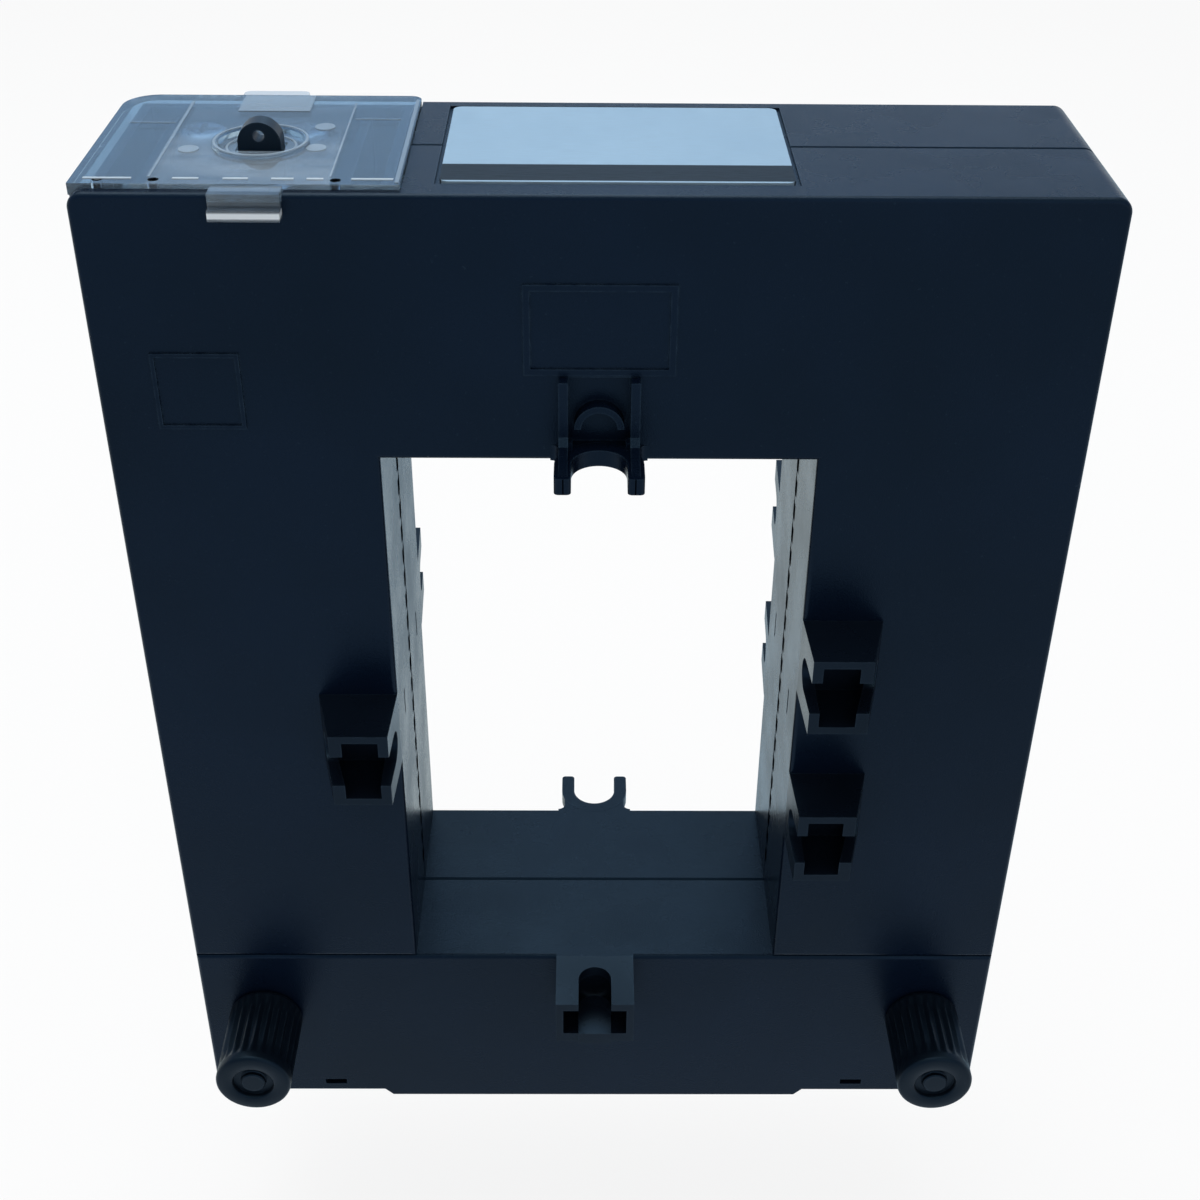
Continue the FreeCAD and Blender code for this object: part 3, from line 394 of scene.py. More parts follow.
@dataclass(frozen=True)
class ClearPlastic:
    """Clear moulding, frosted over the terminals, with painted highlights and painted shade on its tabs,
    finely scuffed on top.
    """

    name: str
    tone: Colour
    frost_and_highlight: Colour
    clarity: float
    roughness: float
    frosted_mm: Span = (-38.8, 9.8)
    tabs_from_mm: float = 16.05
    lip_highlight_mm: Span = (140.72, 0.38)
    bend_highlight_mm: Span = (141.5, 142.8)
    web_shade: Colour = (0.09, 0.13, 0.17)
    crown_highlight_mm: Span = (142.88, 143.0)
    front_mm: Span = (-2.0, 2.0)
    fade_mm: float = 0.15
    scuff_scale: float = 60.0
    haze_scale: float = 240.0
    scuff_depth: float = 0.000012

    def build(self) -> bpy.types.Material:
        """Makes the material.

        Returns:
            The material.
        """
        bench = Bench(self.name)
        axes = bench.axes(bench.spot)
        depth = bench.maths("ABSOLUTE", axes["Y"])
        tabs = bench.maths("GREATER_THAN", depth, self.tabs_from_mm * MM)
        # Painted highlights on the tabs: a bright band along their bottom rim, a faint rise up the bend
        # and a light crown on top.
        lip_highlight = self.within(bench, axes["Z"], self.lip_highlight_mm)
        bend = bench.ranged(axes["Z"], in_metres(self.bend_highlight_mm), 0.0, 0.09)
        crown = bench.ranged(axes["Z"], in_metres(self.crown_highlight_mm), 0.0, 0.85)
        tab_highlight = bench.maths("MULTIPLY", tabs, bench.maths("MAXIMUM", lip_highlight, bend, crown))
        scuffs = bench.noise(self.scuff_scale, 6.0, bench.stretched((1.0, 6.0, 1.0), (0.0, 0.0, 0.3)))
        cloudy = bench.ranged(scuffs, (0.35, 0.7), 0.25, 1.0)
        front = bench.ranged(axes["Y"], in_metres(self.front_mm), 0.26, 0.06)
        middle = self.within(bench, axes["X"], self.frosted_mm)
        # The frosted middle and the tabs' painted highlights both whiten the body and make it less
        # clear.
        frost_and_highlight_share = bench.maths("MAXIMUM", tab_highlight, bench.maths("MULTIPLY", middle, cloudy, front))
        # Painted shade: the tabs take a dark tone under their painted highlights.
        body = bench.mixed(tabs, self.tone, self.web_shade)
        body = bench.mixed(frost_and_highlight_share, body, self.frost_and_highlight)
        clear = bench.ranged(frost_and_highlight_share, (0.0, 1.0), self.clarity, 0.12)
        haze = bench.noise(self.haze_scale, 6.0)
        rough = bench.ranged(haze, (0.3, 0.75), self.roughness, self.roughness + 0.09)
        bench.finish(Base_Color=body, Transmission_Weight=clear, Roughness=rough, IOR=1.5)
        bench.bump(scuffs, self.scuff_depth)
        return bench.material

    def within(self, bench: Bench, value: Socket, band: Span) -> Socket:
        """Tells whether a coordinate lies in a band.

        Args:
            bench: The material's node tree.
            value: The coordinate in metres.
            band: Middle and half width of the band in millimetres.

        Returns:
            The socket that is 1 in the band and 0 away from it.
        """
        middle, half = band
        off = bench.maths("ABSOLUTE", bench.maths("SUBTRACT", value, middle * MM))
        return bench.ranged(off, in_metres((half - self.fade_mm, half + self.fade_mm)), 1.0, 0.0)


@dataclass(frozen=True)
class PlatedMetal:
    """Bare or plated metal with drawn lines, stains and scuffed, brighter edges."""

    name: str
    colour: Colour
    stain: Colour
    roughness: float
    lines: Triple = (1.0, 1.0, 12.0)
    line_scale: float = 900.0
    line_depth: float = 0.000008
    stain_scale: float = 260.0
    edge_mm: float = 0.2

    def build(self) -> bpy.types.Material:
        """Makes the material.

        Returns:
            The material.
        """
        bench = Bench(self.name)
        drawn = bench.noise(self.line_scale, 3.0, bench.stretched(self.lines))
        stains = bench.ranged(bench.noise(self.stain_scale, 5.0), (0.45, 0.75), 0.0, 0.7)
        body = bench.mixed(stains, self.colour, self.stain)
        body = bench.mixed(bench.edges(self.edge_mm, 0.02, 0.2), body, scaled(self.colour, 1.25))
        rough = bench.ranged(drawn, DENSE, self.roughness - 0.07, self.roughness + 0.1)
        bench.finish(Base_Color=body, Metallic=1.0, Roughness=rough)
        bench.bump(drawn, self.line_depth)
        return bench.material


@dataclass(frozen=True)
class LayeredFinish:
    """Sheets or turns of wire that lie side by side: laminations or a winding."""

    name: str
    colour: Colour
    gap: Colour
    pitch_mm: float
    axis: Triple
    metallic: float
    roughness: float
    mottle_scale: float = 700.0
    relief: float = 0.3

    def build(self) -> bpy.types.Material:
        """Makes the material.

        Returns:
            The material.
        """
        bench = Bench(self.name)
        pitch = self.pitch_mm * MM
        count = bench.maths("MULTIPLY", bench.dot(bench.spot, self.axis), 1.0 / pitch)
        place = bench.maths("FRACT", count)
        swing = bench.maths("SUBTRACT", bench.maths("MULTIPLY", place, 2.0), 1.0)
        crown = bench.maths("SUBTRACT", 1.0, bench.maths("ABSOLUTE", swing))
        seam = bench.ranged(crown, (0.0, 0.35), 1.0, 0.0)
        mottle = bench.ranged(bench.noise(self.mottle_scale, 4.0), DENSE, 1.0, 0.0)
        body = bench.mixed(seam, bench.mixed(mottle, self.colour, scaled(self.colour, 0.8)), self.gap)
        bench.finish(Base_Color=body, Metallic=self.metallic, Roughness=self.roughness)
        bench.bump(bench.ranged(crown, (0.0, 0.6), 0.0, 1.0), pitch * self.relief)
        return bench.material


@dataclass(frozen=True)
class FoilPlate:
    """Pale metallised plate with a dark strip along its front edge and no marking."""

    name: str
    colour: Colour
    faded: Colour
    strip: Colour
    strip_mm: Span
    edge_mm: float = 0.1
    brush_scale: float = 420.0
    brush_depth: float = 0.000006
    fade_scale: float = 90.0
    specular: float = 0.14

    def build(self) -> bpy.types.Material:
        """Makes the material.

        Returns:
            The material.
        """
        bench = Bench(self.name)
        depth = bench.axes(bench.spot)["Y"]
        front, back = (in_metres((edge - self.edge_mm, edge + self.edge_mm)) for edge in self.strip_mm)
        ahead, behind = bench.ranged(depth, back, 1.0, 0.0), bench.ranged(depth, front, 0.0, 1.0)
        printed = bench.maths("MULTIPLY", ahead, behind)
        brushed = bench.noise(self.brush_scale, 4.0, bench.stretched((1.0, 14.0, 1.0)))
        streaks = bench.ranged(brushed, DENSE, 0.0, 1.0)
        body = bench.mixed(streaks, scaled(self.colour, 0.88), self.colour)
        old = bench.ranged(bench.noise(self.fade_scale, 4.0), (0.4, 0.7), 0.0, 0.3)
        body = bench.mixed(printed, bench.mixed(old, body, self.faded), self.strip)
        rough = bench.ranged(brushed, DENSE, 0.28, 0.42)
        metal = bench.ranged(printed, (0.0, 1.0), 0.25, 0.0)
        bench.finish(Base_Color=body, Metallic=metal, Roughness=rough, Specular_IOR_Level=self.specular)
        bench.bump(brushed, self.brush_depth)
        return bench.material


@dataclass(frozen=True)
class Floor:
    """Pale floor, white to the eye and cooler in reflections, that keeps soft shadows.

    It lies below the reach of the lowered yoke. Its back half mirrors darker on the right.
    """

    colour: Colour = (0.86, 0.87, 0.88)
    mirrored: Colour = (0.7, 0.86, 1.0)
    left_back: Colour = (0.86, 0.98, 1.0)
    right_back: Colour = (0.4, 0.62, 0.8)
    glow: float = 0.85
    reach: float = 4.0
    level: float = -0.034

    def build(self) -> None:
        """Makes the floor and its material."""
        bench = Bench("floor_white")
        bench.finish(Base_Color=(*self.colour, 1.0), Roughness=0.9, Specular_IOR_Level=0.1)
        axes = bench.axes(bench.spot)
        back = bench.mixed(bench.maths("GREATER_THAN", axes["X"], 0.0), self.left_back, self.right_back)
        tone = bench.mixed(bench.maths("GREATER_THAN", axes["Y"], 0.0), self.mirrored, back)
        tone = bench.mixed(bench.rays()["Is Glossy Ray"], WHITE, tone)
        light = bench.node("ShaderNodeEmission", {"Color": tone, "Strength": 1.0})
        glow = bench.maths("MULTIPLY", bench.looked_at(), self.glow)
        pair = {1: bench.shader.outputs[0], 2: light.outputs[0]}
        both = bench.node("ShaderNodeMixShader", {0: glow, **pair})
        bench.tree.links.new(both.outputs[0], bench.output.inputs["Surface"])
        sheet = bmesh.new()
        bmesh.ops.create_grid(sheet, x_segments=1, y_segments=1, size=self.reach)
        bmesh.ops.translate(sheet, vec=(0.0, 0.0, self.level), verts=sheet.verts)
        floor = placed(sheet, "floor", 1.0)
        floor.data.materials.append(bench.material)


class Finish(Enum):
    """Every finish on the transformer."""

    HOUSING = MouldedPlastic("housing_black", shade("060f1e"), shade("22303e"), Grain.ERODED,
                             0.26, 0.17)
    CLIP = MouldedPlastic("clip_black", shade("0a111b"), shade("1d2833"), Grain.SATIN, 0.28, 0.17)
    KNOB = MouldedPlastic("knob_black", shade("070d15"), shade("26323e"), Grain.SATIN, 0.38, 0.18)
    TRAY = MouldedPlastic("tray_black", shade("0d141c"), shade("33404c"), Grain.SATIN, 0.4, 0.3)
    # Painted shade: near black and almost without reflection, for the inside of slots and holes.
    SHADE_INLAY = MouldedPlastic("painted_shade_black", shade("03060a"), shade("10161d"), Grain.SATIN,
                            0.7, 0.05, index=1.0)
    COVER = ClearPlastic("cover_clear", shade("bccfdf"), shade("eaf2f8"), 0.92, 0.04)
    RIDGE = ClearPlastic("ridge_clear", shade("b6c9d8"), shade("dde9f2"), 0.62, 0.1)
    # Painted highlight: the rail's lighter, less clear finish paints the bright broken line along the
    # cover's front.
    RAIL = ClearPlastic("rail_clear", shade("cbdae5"), shade("eef4f8"), 0.3, 0.16)
    PLATE = FoilPlate("plate_foil", shade("9bb5c8"), shade("8da7bb"), shade("060a10"), (-11.6, -6.5))
    ZINC = PlatedMetal("steel_zinc", shade("b9c2cb"), shade("8d979f"), 0.3)
    BRASS = PlatedMetal("insert_brass", shade("c9a45c"), shade("a07e3f"), 0.3)
    LAMINATION = LayeredFinish("core_laminated", shade("7d838a"), shade("33373c"), 0.5,
                               (0.0, 1.0, 0.0), 0.85, 0.4)
    WINDING = LayeredFinish("copper_enamelled", shade("b0602e"), shade("4a2412"), 0.6,
                            (0.0, 0.0, 1.0), 0.7, 0.25)
    NYLON = MouldedPlastic("former_nylon", shade("c9c4b4"), shade("ded9cb"), Grain.SATIN,
                           0.45, 0.45, 0.06)
    SLEEVE = MouldedPlastic("sleeve_red", shade("8c2a22"), shade("b04a3c"), Grain.POLISHED,
                            0.4, 0.45, 0.1)

    def material(self) -> bpy.types.Material:
        """Gives the finish's material, made the first time it is asked for.

        Returns:
            The material.
        """
        return bpy.data.materials.get(self.value.name) or self.value.build()


def verts_in(geometry: Iterable[object]) -> list[bmesh.types.BMVert]:
    """Picks the vertices out of what an operator gives back.

    Args:
        geometry: Vertices, edges and faces.

    Returns:
        The vertices.
    """
    return [item for item in geometry if isinstance(item, bmesh.types.BMVert)]


def merge_in(mesh: bmesh.types.BMesh, part: bmesh.types.BMesh) -> None:
    """Adds one mesh to another.

    Args:
        mesh: The mesh that grows.
        part: The mesh that is added and freed.
    """
    spare = bpy.data.meshes.new("part")
    part.to_mesh(spare)
    part.free()
    mesh.from_mesh(spare)
    bpy.data.meshes.remove(spare)


def add_box(mesh: bmesh.types.BMesh, low: Iterable[float], high: Iterable[float]) -> None:
    """Adds a box to a mesh.

    Args:
        mesh: The mesh that grows.
        low: The box's lowest corner.
        high: Its highest corner.
    """
    first, last = Vector(low), Vector(high)
    verts = bmesh.ops.create_cube(mesh, size=1.0)["verts"]
    bmesh.ops.scale(mesh, vec=last - first, verts=verts)
    bmesh.ops.translate(mesh, vec=(first + last) / 2, verts=verts)


def spun(profile: Sequence[Span], steps: int, closed: bool) -> bmesh.types.BMesh:
    """Turns a profile about +Z into a closed shape.

    Args:
        profile: Points as (radius, height).
        steps: How many steps a full turn has.
        closed: True for a ring, whose last point joins its first.

    Returns:
        The turned mesh.
    """
    mesh = bmesh.new()
    verts = [mesh.verts.new((radius, 0.0, height)) for radius, height in profile]
    pairs = list(zip(verts, verts[1:]))
    if closed:
        pairs.append((verts[-1], verts[0]))
    edges = [mesh.edges.new(pair) for pair in pairs]
    bmesh.ops.spin(mesh, geom=verts + edges, axis=UP, angle=math.tau, steps=steps, use_merge=True)
    bmesh.ops.remove_doubles(mesh, verts=mesh.verts, dist=MERGE_MM)
    bmesh.ops.recalc_face_normals(mesh, faces=mesh.faces)
    return mesh


def placed(mesh: bmesh.types.BMesh, name: str, unit: float = MM,
           sharp: float = SHARP_DEG) -> bpy.types.Object:
    """Makes an object at the origin from a finished mesh.

    Args:
        mesh: The mesh, which is freed.
        name: The object's name.
        unit: Metres in one unit of the mesh.
        sharp: Degrees of bend from which an edge stays sharp.

    Returns:
        The new object.
    """
    bmesh.ops.scale(mesh, vec=(unit, unit, unit), verts=mesh.verts)
    limit = math.radians(sharp)
    for face in mesh.faces:
        face.smooth = True
    for edge in mesh.edges:
        edge.smooth = edge.calc_face_angle(0.0) < limit
    data = bpy.data.meshes.new(name)
    mesh.to_mesh(data)
    mesh.free()
    made = bpy.data.objects.new(name, data)
    bpy.context.scene.collection.objects.link(made)
    return made


def dress(obj: bpy.types.Object, finish: Finish) -> None:
    """Gives an object one finish all over.

    Args:
        obj: The object.
        finish: Its finish.
    """
    obj.data.materials.clear()
    obj.data.materials.append(finish.material())
    LOG.info("%s dressed", obj.name)


def added(mesh: bmesh.types.BMesh, name: str, finish: Finish, body: str) -> None:
    """Makes a piece of the scene's own that moves with a body.

    Args:
        mesh: The mesh, which is freed.
        name: The piece's name.
        finish: Its finish.
        body: The body that it rides.
    """
    piece = placed(mesh, name)
    dress(piece, finish)
    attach(piece, body)


@dataclass
class Enclosure:
    """The housing's and the yoke's shells, which stay as they are packed."""

    shells: tuple[str, ...] = ("front_shell", "rear_shell", "yoke_front_shell", "yoke_rear_shell")

    def build(self, nodes: Nodes) -> None:
        """Dresses the shells.

        Args:
            nodes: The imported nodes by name.
        """
        for name in self.shells:
            dress(nodes[name], Finish.HOUSING)


@dataclass
class FamilyPieces:
    """Pieces that come in families: core, coils, what holds the yoke on, and the busbar clips."""

    finishes: tuple[tuple[str, Finish], ...] = (
        ("u_core", Finish.LAMINATION),
        ("yoke_core", Finish.LAMINATION),
        ("bobbin", Finish.NYLON),
        ("winding", Finish.WINDING),
        ("leg_anchor", Finish.ZINC),
        ("insert", Finish.BRASS),
        ("coil_lead", Finish.SLEEVE),
        ("coil_link", Finish.SLEEVE),
        ("_clip", Finish.CLIP),
    )

    def build(self, nodes: Nodes) -> None:
        """Dresses the pieces by the ends of their names.

        Args:
            nodes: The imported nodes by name.
        """
        for name, obj in nodes.items():
            for ending, finish in self.finishes:
                if name.endswith(ending):
                    dress(obj, finish)


@dataclass
class WindowSeam:
    """The row of short slots in the joint between the shells, on one side wall of the window, drawn as
    painted shade.
    """

    side: Side
    wall: float = 25.5
    proud: float = 0.02
    depth: float = 0.1
    front: float = -1.2
    back: float = 0.4
    first: float = 35.0
    pitch: float = 3.5
    count: int = 21
    length: float = 2.2

    def build(self) -> None:
        """Makes the slots as flat dark inlays in the wall that paint the shade inside them."""
        mesh = bmesh.new()
        reach = (self.wall - self.proud, self.wall + self.depth)
        left, right = sorted(self.side.value * across for across in reach)
        for index in range(self.count):
            middle = self.first + index * self.pitch
            add_box(mesh, (left, self.front, middle - self.length / 2),
                    (right, self.back, middle + self.length / 2))
        added(mesh, f"{self.side.word}_seam_slots", Finish.SHADE_INLAY, "housing")


@dataclass
class HolderProngs:
    """Rounded lips that bring the prongs of one bare holder to their full width.

    Facing is -1 for a holder in front and 1 for one behind, and level is the underside of its sheet.
    """

    name: str
    body: str
    facing: int
    level: float
    inner: float = 3.2
    outer: float = 5.15
    start: float = 1.3
    reach: float = 8.0
    face: float = 16.0
    sheet: float = 2.0
    skin: float = 0.02
    tip_round: float = 0.5
    steps: int = 28

    def build(self) -> None:
        """Makes the lips and sets them on their holder."""
        mesh = self.bent_bar()
        if self.facing > 0:
            bmesh.ops.rotate(mesh, verts=mesh.verts, matrix=Matrix.Rotation(math.pi, 3, "Z"))
        spot = (0.0, self.facing * (self.face + self.start + self.inner), self.level - self.skin)
        bmesh.ops.translate(mesh, verts=mesh.verts, vec=spot)
        bmesh.ops.recalc_face_normals(mesh, faces=mesh.faces)
        added(mesh, self.name, Finish.HOUSING, self.body)

    def bent_bar(self) -> bmesh.types.BMesh:
        """Bends a flat bar round the notch, draws out its ends and gives it its height.

        Returns:
            The bar, open to the front, with the notch's centre at the origin.
        """
        mesh = bmesh.new()
        ends = [mesh.verts.new((radius, 0.0, 0.0)) for radius in (self.inner, self.outer)]
        first = mesh.edges.new(ends)
        bow = bmesh.ops.spin(mesh, geom=[*ends, first], axis=UP, angle=math.pi, steps=self.steps)
        last = [item for item in bow["geom_last"] if isinstance(item, bmesh.types.BMEdge)]
        drawn = bmesh.ops.extrude_edge_only(mesh, edges=[first, *last])["geom"]
        length = self.reach - self.start - self.inner
        bmesh.ops.translate(mesh, verts=verts_in(drawn), vec=(0.0, -length, 0.0))
        raised = bmesh.ops.extrude_face_region(mesh, geom=mesh.faces[:])["geom"]
        bmesh.ops.translate(mesh, verts=verts_in(raised), vec=(0.0, 0.0, self.sheet + 2 * self.skin))
        tips = [edge for edge in mesh.edges if self.at_tip(edge, length)]
        bmesh.ops.bevel(mesh, geom=tips, offset=self.tip_round, segments=3, profile=0.5,
                        affect="EDGES", material=-1)
        return mesh

    def at_tip(self, edge: bmesh.types.BMEdge, length: float) -> bool:
        """Tells whether an edge stands along Z at the end of a prong.

        Args:
            edge: The edge.
            length: How far the prongs reach past the notch's centre.

        Returns:
            True if it does.
        """
        first, last = (vert.co for vert in edge.verts)
        upright = (first - last).xy.length < MERGE_MM and edge.calc_length() > self.sheet
        return upright and first.y < MERGE_MM - length


@dataclass
class Thumbscrew:
    """A knurled knob with a dished face on a threaded stud."""

    side: Side
    across: float = 48.0
    up: float = 17.5
    back: float = -16.2
    length: float = 12.8
    radius: float = 5.25
    bore: float = 2.0
    cap: float = 1.7
    knurls: int = 24
    knurl_depth: float = 0.42
    knurl_start: float = 0.7
    knurl_end: float = 11.3
    knurl_run: float = 0.7
    knurl_sharp: float = 40.0
    steps_per_knurl: int = 6
    stud_length: float = 37.3
    stud_sink: float = 0.3
    stud_neck: float = 1.4
    neck_length: float = 1.2
    thread_pitch: float = 0.7
    thread_depth: float = 0.22
    thread_steps: int = 20
    grip_rows: int = 9
    clearance: float = 0.05

    def knob(self) -> bpy.types.Object:
        """Turns the knob and presses the knurls into its grip.

        Returns:
            The knob.
        """
        r, top, cap = self.radius, self.length, self.cap
        bore, neck = self.bore + 0.02, self.stud_neck + self.clearance
        roof = top - self.stud_sink + self.clearance
        step = roof - self.neck_length
        row = (self.knurl_end - self.knurl_start) / self.grip_rows
        # The stepped bore for the stud and the edge at the back.
        profile = [(0.0, roof), (neck, roof), (neck, step), (bore, step), (bore, 0.0)]
        profile += [(r - 0.55, 0.0), (r - 0.2, 0.1), (r, 0.4), (r, self.knurl_start)]
        # The grip, in rows that the knurls bend.
        profile += [(r, self.knurl_start + row * count) for count in range(1, self.grip_rows + 1)]
        # The rounded edge in front, the dish and the cap in its middle.
        profile += [(r, self.knurl_end + 0.12), (r, top - 0.55), (r - 0.08, top - 0.3)]
        profile += [(r - 0.25, top - 0.1), (r - 0.5, top), (3.1, top), (2.95, top - 0.08)]
        profile += [(2.85, top - 0.25), (2.8, top - 0.8), (cap + 0.15, top - 0.85)]
        profile += [(cap + 0.02, top - 0.75), (cap, top - 0.3), (cap - 0.15, top - 0.15)]
        profile.append((0.0, top - 0.12))
        mesh = spun(profile, self.knurls * self.steps_per_knurl, False)
        self.press_knurls(mesh)
        return placed(self.set_in_place(mesh), f"{self.side.word}_knob", sharp=self.knurl_sharp)

    def press_knurls(self, mesh: bmesh.types.BMesh) -> None:
        """Draws the grip inwards between its knurls, fading out at both ends.

        Args:
            mesh: The knob as turned, about +Z.
        """
        for vert in mesh.verts:
            if vert.co.xy.length < self.radius - 0.01:
                continue
            turn = math.atan2(vert.co.y, vert.co.x)
            ends = min(vert.co.z - self.knurl_start, self.knurl_end - vert.co.z)
            fade = min(1.0, max(0.0, ends / self.knurl_run))
            valley = (0.5 - 0.5 * math.cos(self.knurls * turn)) ** 0.8
            share = 1.0 - self.knurl_depth * valley * fade / self.radius
            vert.co.x *= share
            vert.co.y *= share

    def stud(self) -> bpy.types.Object:
        """Turns the stud and winds its thread round it.

        Returns:
            The stud.
        """
        core, plain, end = self.bore - self.thread_depth, self.length - 1.0, self.stud_length
        profile = [(0.0, 0.0), (self.stud_neck, 0.0), (self.stud_neck, self.neck_length)]
        profile += [(self.bore, self.neck_length), (self.bore, plain), (core, plain + 0.25)]
        profile += [(core, end - 0.4), (core - 0.4, end), (0.0, end)]
        mesh = spun(profile, 32, False)
        merge_in(mesh, self.thread(plain + 0.5, int((end - plain - 1.6) / self.thread_pitch)))
        bmesh.ops.rotate(mesh, verts=mesh.verts, matrix=Matrix.Rotation(math.pi, 3, "X"))
        bmesh.ops.translate(mesh, verts=mesh.verts, vec=(0.0, 0.0, self.length - self.stud_sink))
        return placed(self.set_in_place(mesh), f"{self.side.word}_stud")

    def thread(self, start: float, turns: int) -> bmesh.types.BMesh:
        """Winds the ridge of the thread.

        Args:
            start: Height of the ridge's middle at its first end.
            turns: How many turns it has.

        Returns:
            The ridge.
        """
        root, crest = self.bore - self.thread_depth - 0.05, self.bore - 0.02
        half = self.thread_pitch * 0.36
        flat = half * 0.2
        corners = ((root, -half), (crest, -flat), (crest, flat), (root, half))
        ridge = bmesh.new()
        verts = [ridge.verts.new((radius, 0.0, start + rise)) for radius, rise in corners]
        face = ridge.faces.new(verts)
        climb = (0, 0, self.thread_pitch / self.thread_steps)
        bmesh.ops.spin(ridge, geom=[face, *face.verts, *face.edges], axis=UP, dvec=climb,
                       angle=math.tau * turns, steps=self.thread_steps * turns)
        bmesh.ops.remove_doubles(ridge, verts=ridge.verts, dist=MERGE_MM)
        bmesh.ops.recalc_face_normals(ridge, faces=ridge.faces)
        return ridge

    def set_in_place(self, mesh: bmesh.types.BMesh) -> bmesh.types.BMesh:
        """Turns a mesh from +Z to the front and moves it to this thumbscrew's axis.

        Args:
            mesh: The mesh as turned.

        Returns:
            The same mesh.
        """
        bmesh.ops.rotate(mesh, verts=mesh.verts, matrix=Matrix.Rotation(math.pi / 2, 3, "X"))
        spot = (self.side.value * self.across, self.back, self.up)
        bmesh.ops.translate(mesh, verts=mesh.verts, vec=spot)
        return mesh

    def build(self, nodes: Nodes) -> None:
        """Makes both pieces, which stand for their nodes and turn with them.

        Args:
            nodes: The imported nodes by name.
        """
        word = self.side.word
        parts = ((self.knob(), "thumb_knob", Finish.KNOB, "knob_plastic"),
                 (self.stud(), "thumb_stud", Finish.ZINC, "zinc_steel"))
        for obj, node, finish, slot in parts:
            dress(obj, finish)
            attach(obj, f"{word}_thumbscrew")
            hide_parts(nodes[f"{word}_{node}"].name)


@dataclass
class ClampScrew:
    """Pan-head screw with a cross recess on a terminal."""

    side: Side
    across: float
    back: float = 6.8
    seat: float = 138.8
    head_radius: float = 3.0
    head_height: float = 2.2
    shank_radius: float = 1.45
    shank_length: float = 5.4
    slot_half: float = 0.42
    slot_reach: float = 2.3
    cross_reach: float = 1.5
    slot_depth: float = 1.0

    def build(self, nodes: Nodes) -> None:
        """Makes the screw, which stands for its node.

        Args:
            nodes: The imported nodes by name.
        """
        r, high = self.head_radius, self.head_height
        profile = [(0.0, -self.shank_length), (self.shank_radius - 0.3, -self.shank_length)]
        profile += [(self.shank_radius, -self.shank_length + 0.3), (self.shank_radius, 0.0)]
        profile += [(r - 0.1, 0.0), (r, 0.1), (r, high * 0.6), (r - 0.18, high * 0.82)]
        profile += [(r - 0.5, high * 0.95), (r - 0.9, high), (0.0, high)]
        mesh = spun(profile, 40, False)
        self.cut_recess(mesh)
        bmesh.ops.translate(mesh, verts=mesh.verts, vec=(self.across, self.back, self.seat))
        screw = placed(mesh, f"{self.side.word}_clamp_screw")
        dress(screw, Finish.ZINC)
        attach(screw, "housing")
        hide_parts(nodes[f"{self.side.word}_terminal_screw"].name)

    def cut_recess(self, mesh: bmesh.types.BMesh) -> None:
        """Sinks a cross into the head.

        Args:
            mesh: The screw, standing on its seat.
        """
        for axis, reach in ((Vector((1, 0, 0)), self.slot_reach), (Vector((0, 1, 0)), self.cross_reach)):
            for offset in (-reach, -self.slot_half, self.slot_half, reach):
                flat = self.crown(mesh)
                near = {part for face in flat for part in (*face.edges, *face.verts)}
                bmesh.ops.bisect_plane(mesh, geom=[*flat, *near], dist=MERGE_MM, plane_co=axis * offset,
                                       plane_no=axis)
        chosen = []
        for face in self.crown(mesh):
            x, y = (abs(part) for part in face.calc_center_median().xy)
            along = x < self.slot_reach and y < self.slot_half
            over = y < self.cross_reach and x < self.slot_half
            if along or over:
                chosen.append(face)
        grown = bmesh.ops.extrude_face_region(mesh, geom=chosen)["geom"]
        bmesh.ops.delete(mesh, geom=chosen, context="FACES_ONLY")
        bmesh.ops.translate(mesh, verts=verts_in(grown), vec=(0.0, 0.0, -self.slot_depth))
        bmesh.ops.recalc_face_normals(mesh, faces=mesh.faces)

    def crown(self, mesh: bmesh.types.BMesh) -> list[bmesh.types.BMFace]:
        """Finds the flat top of the head.

        Args:
            mesh: The screw, standing on its seat.

        Returns:
            The faces of the top.
        """
        level = self.head_height - 0.02
        return [face for face in mesh.faces if face.calc_center_median().z > level]


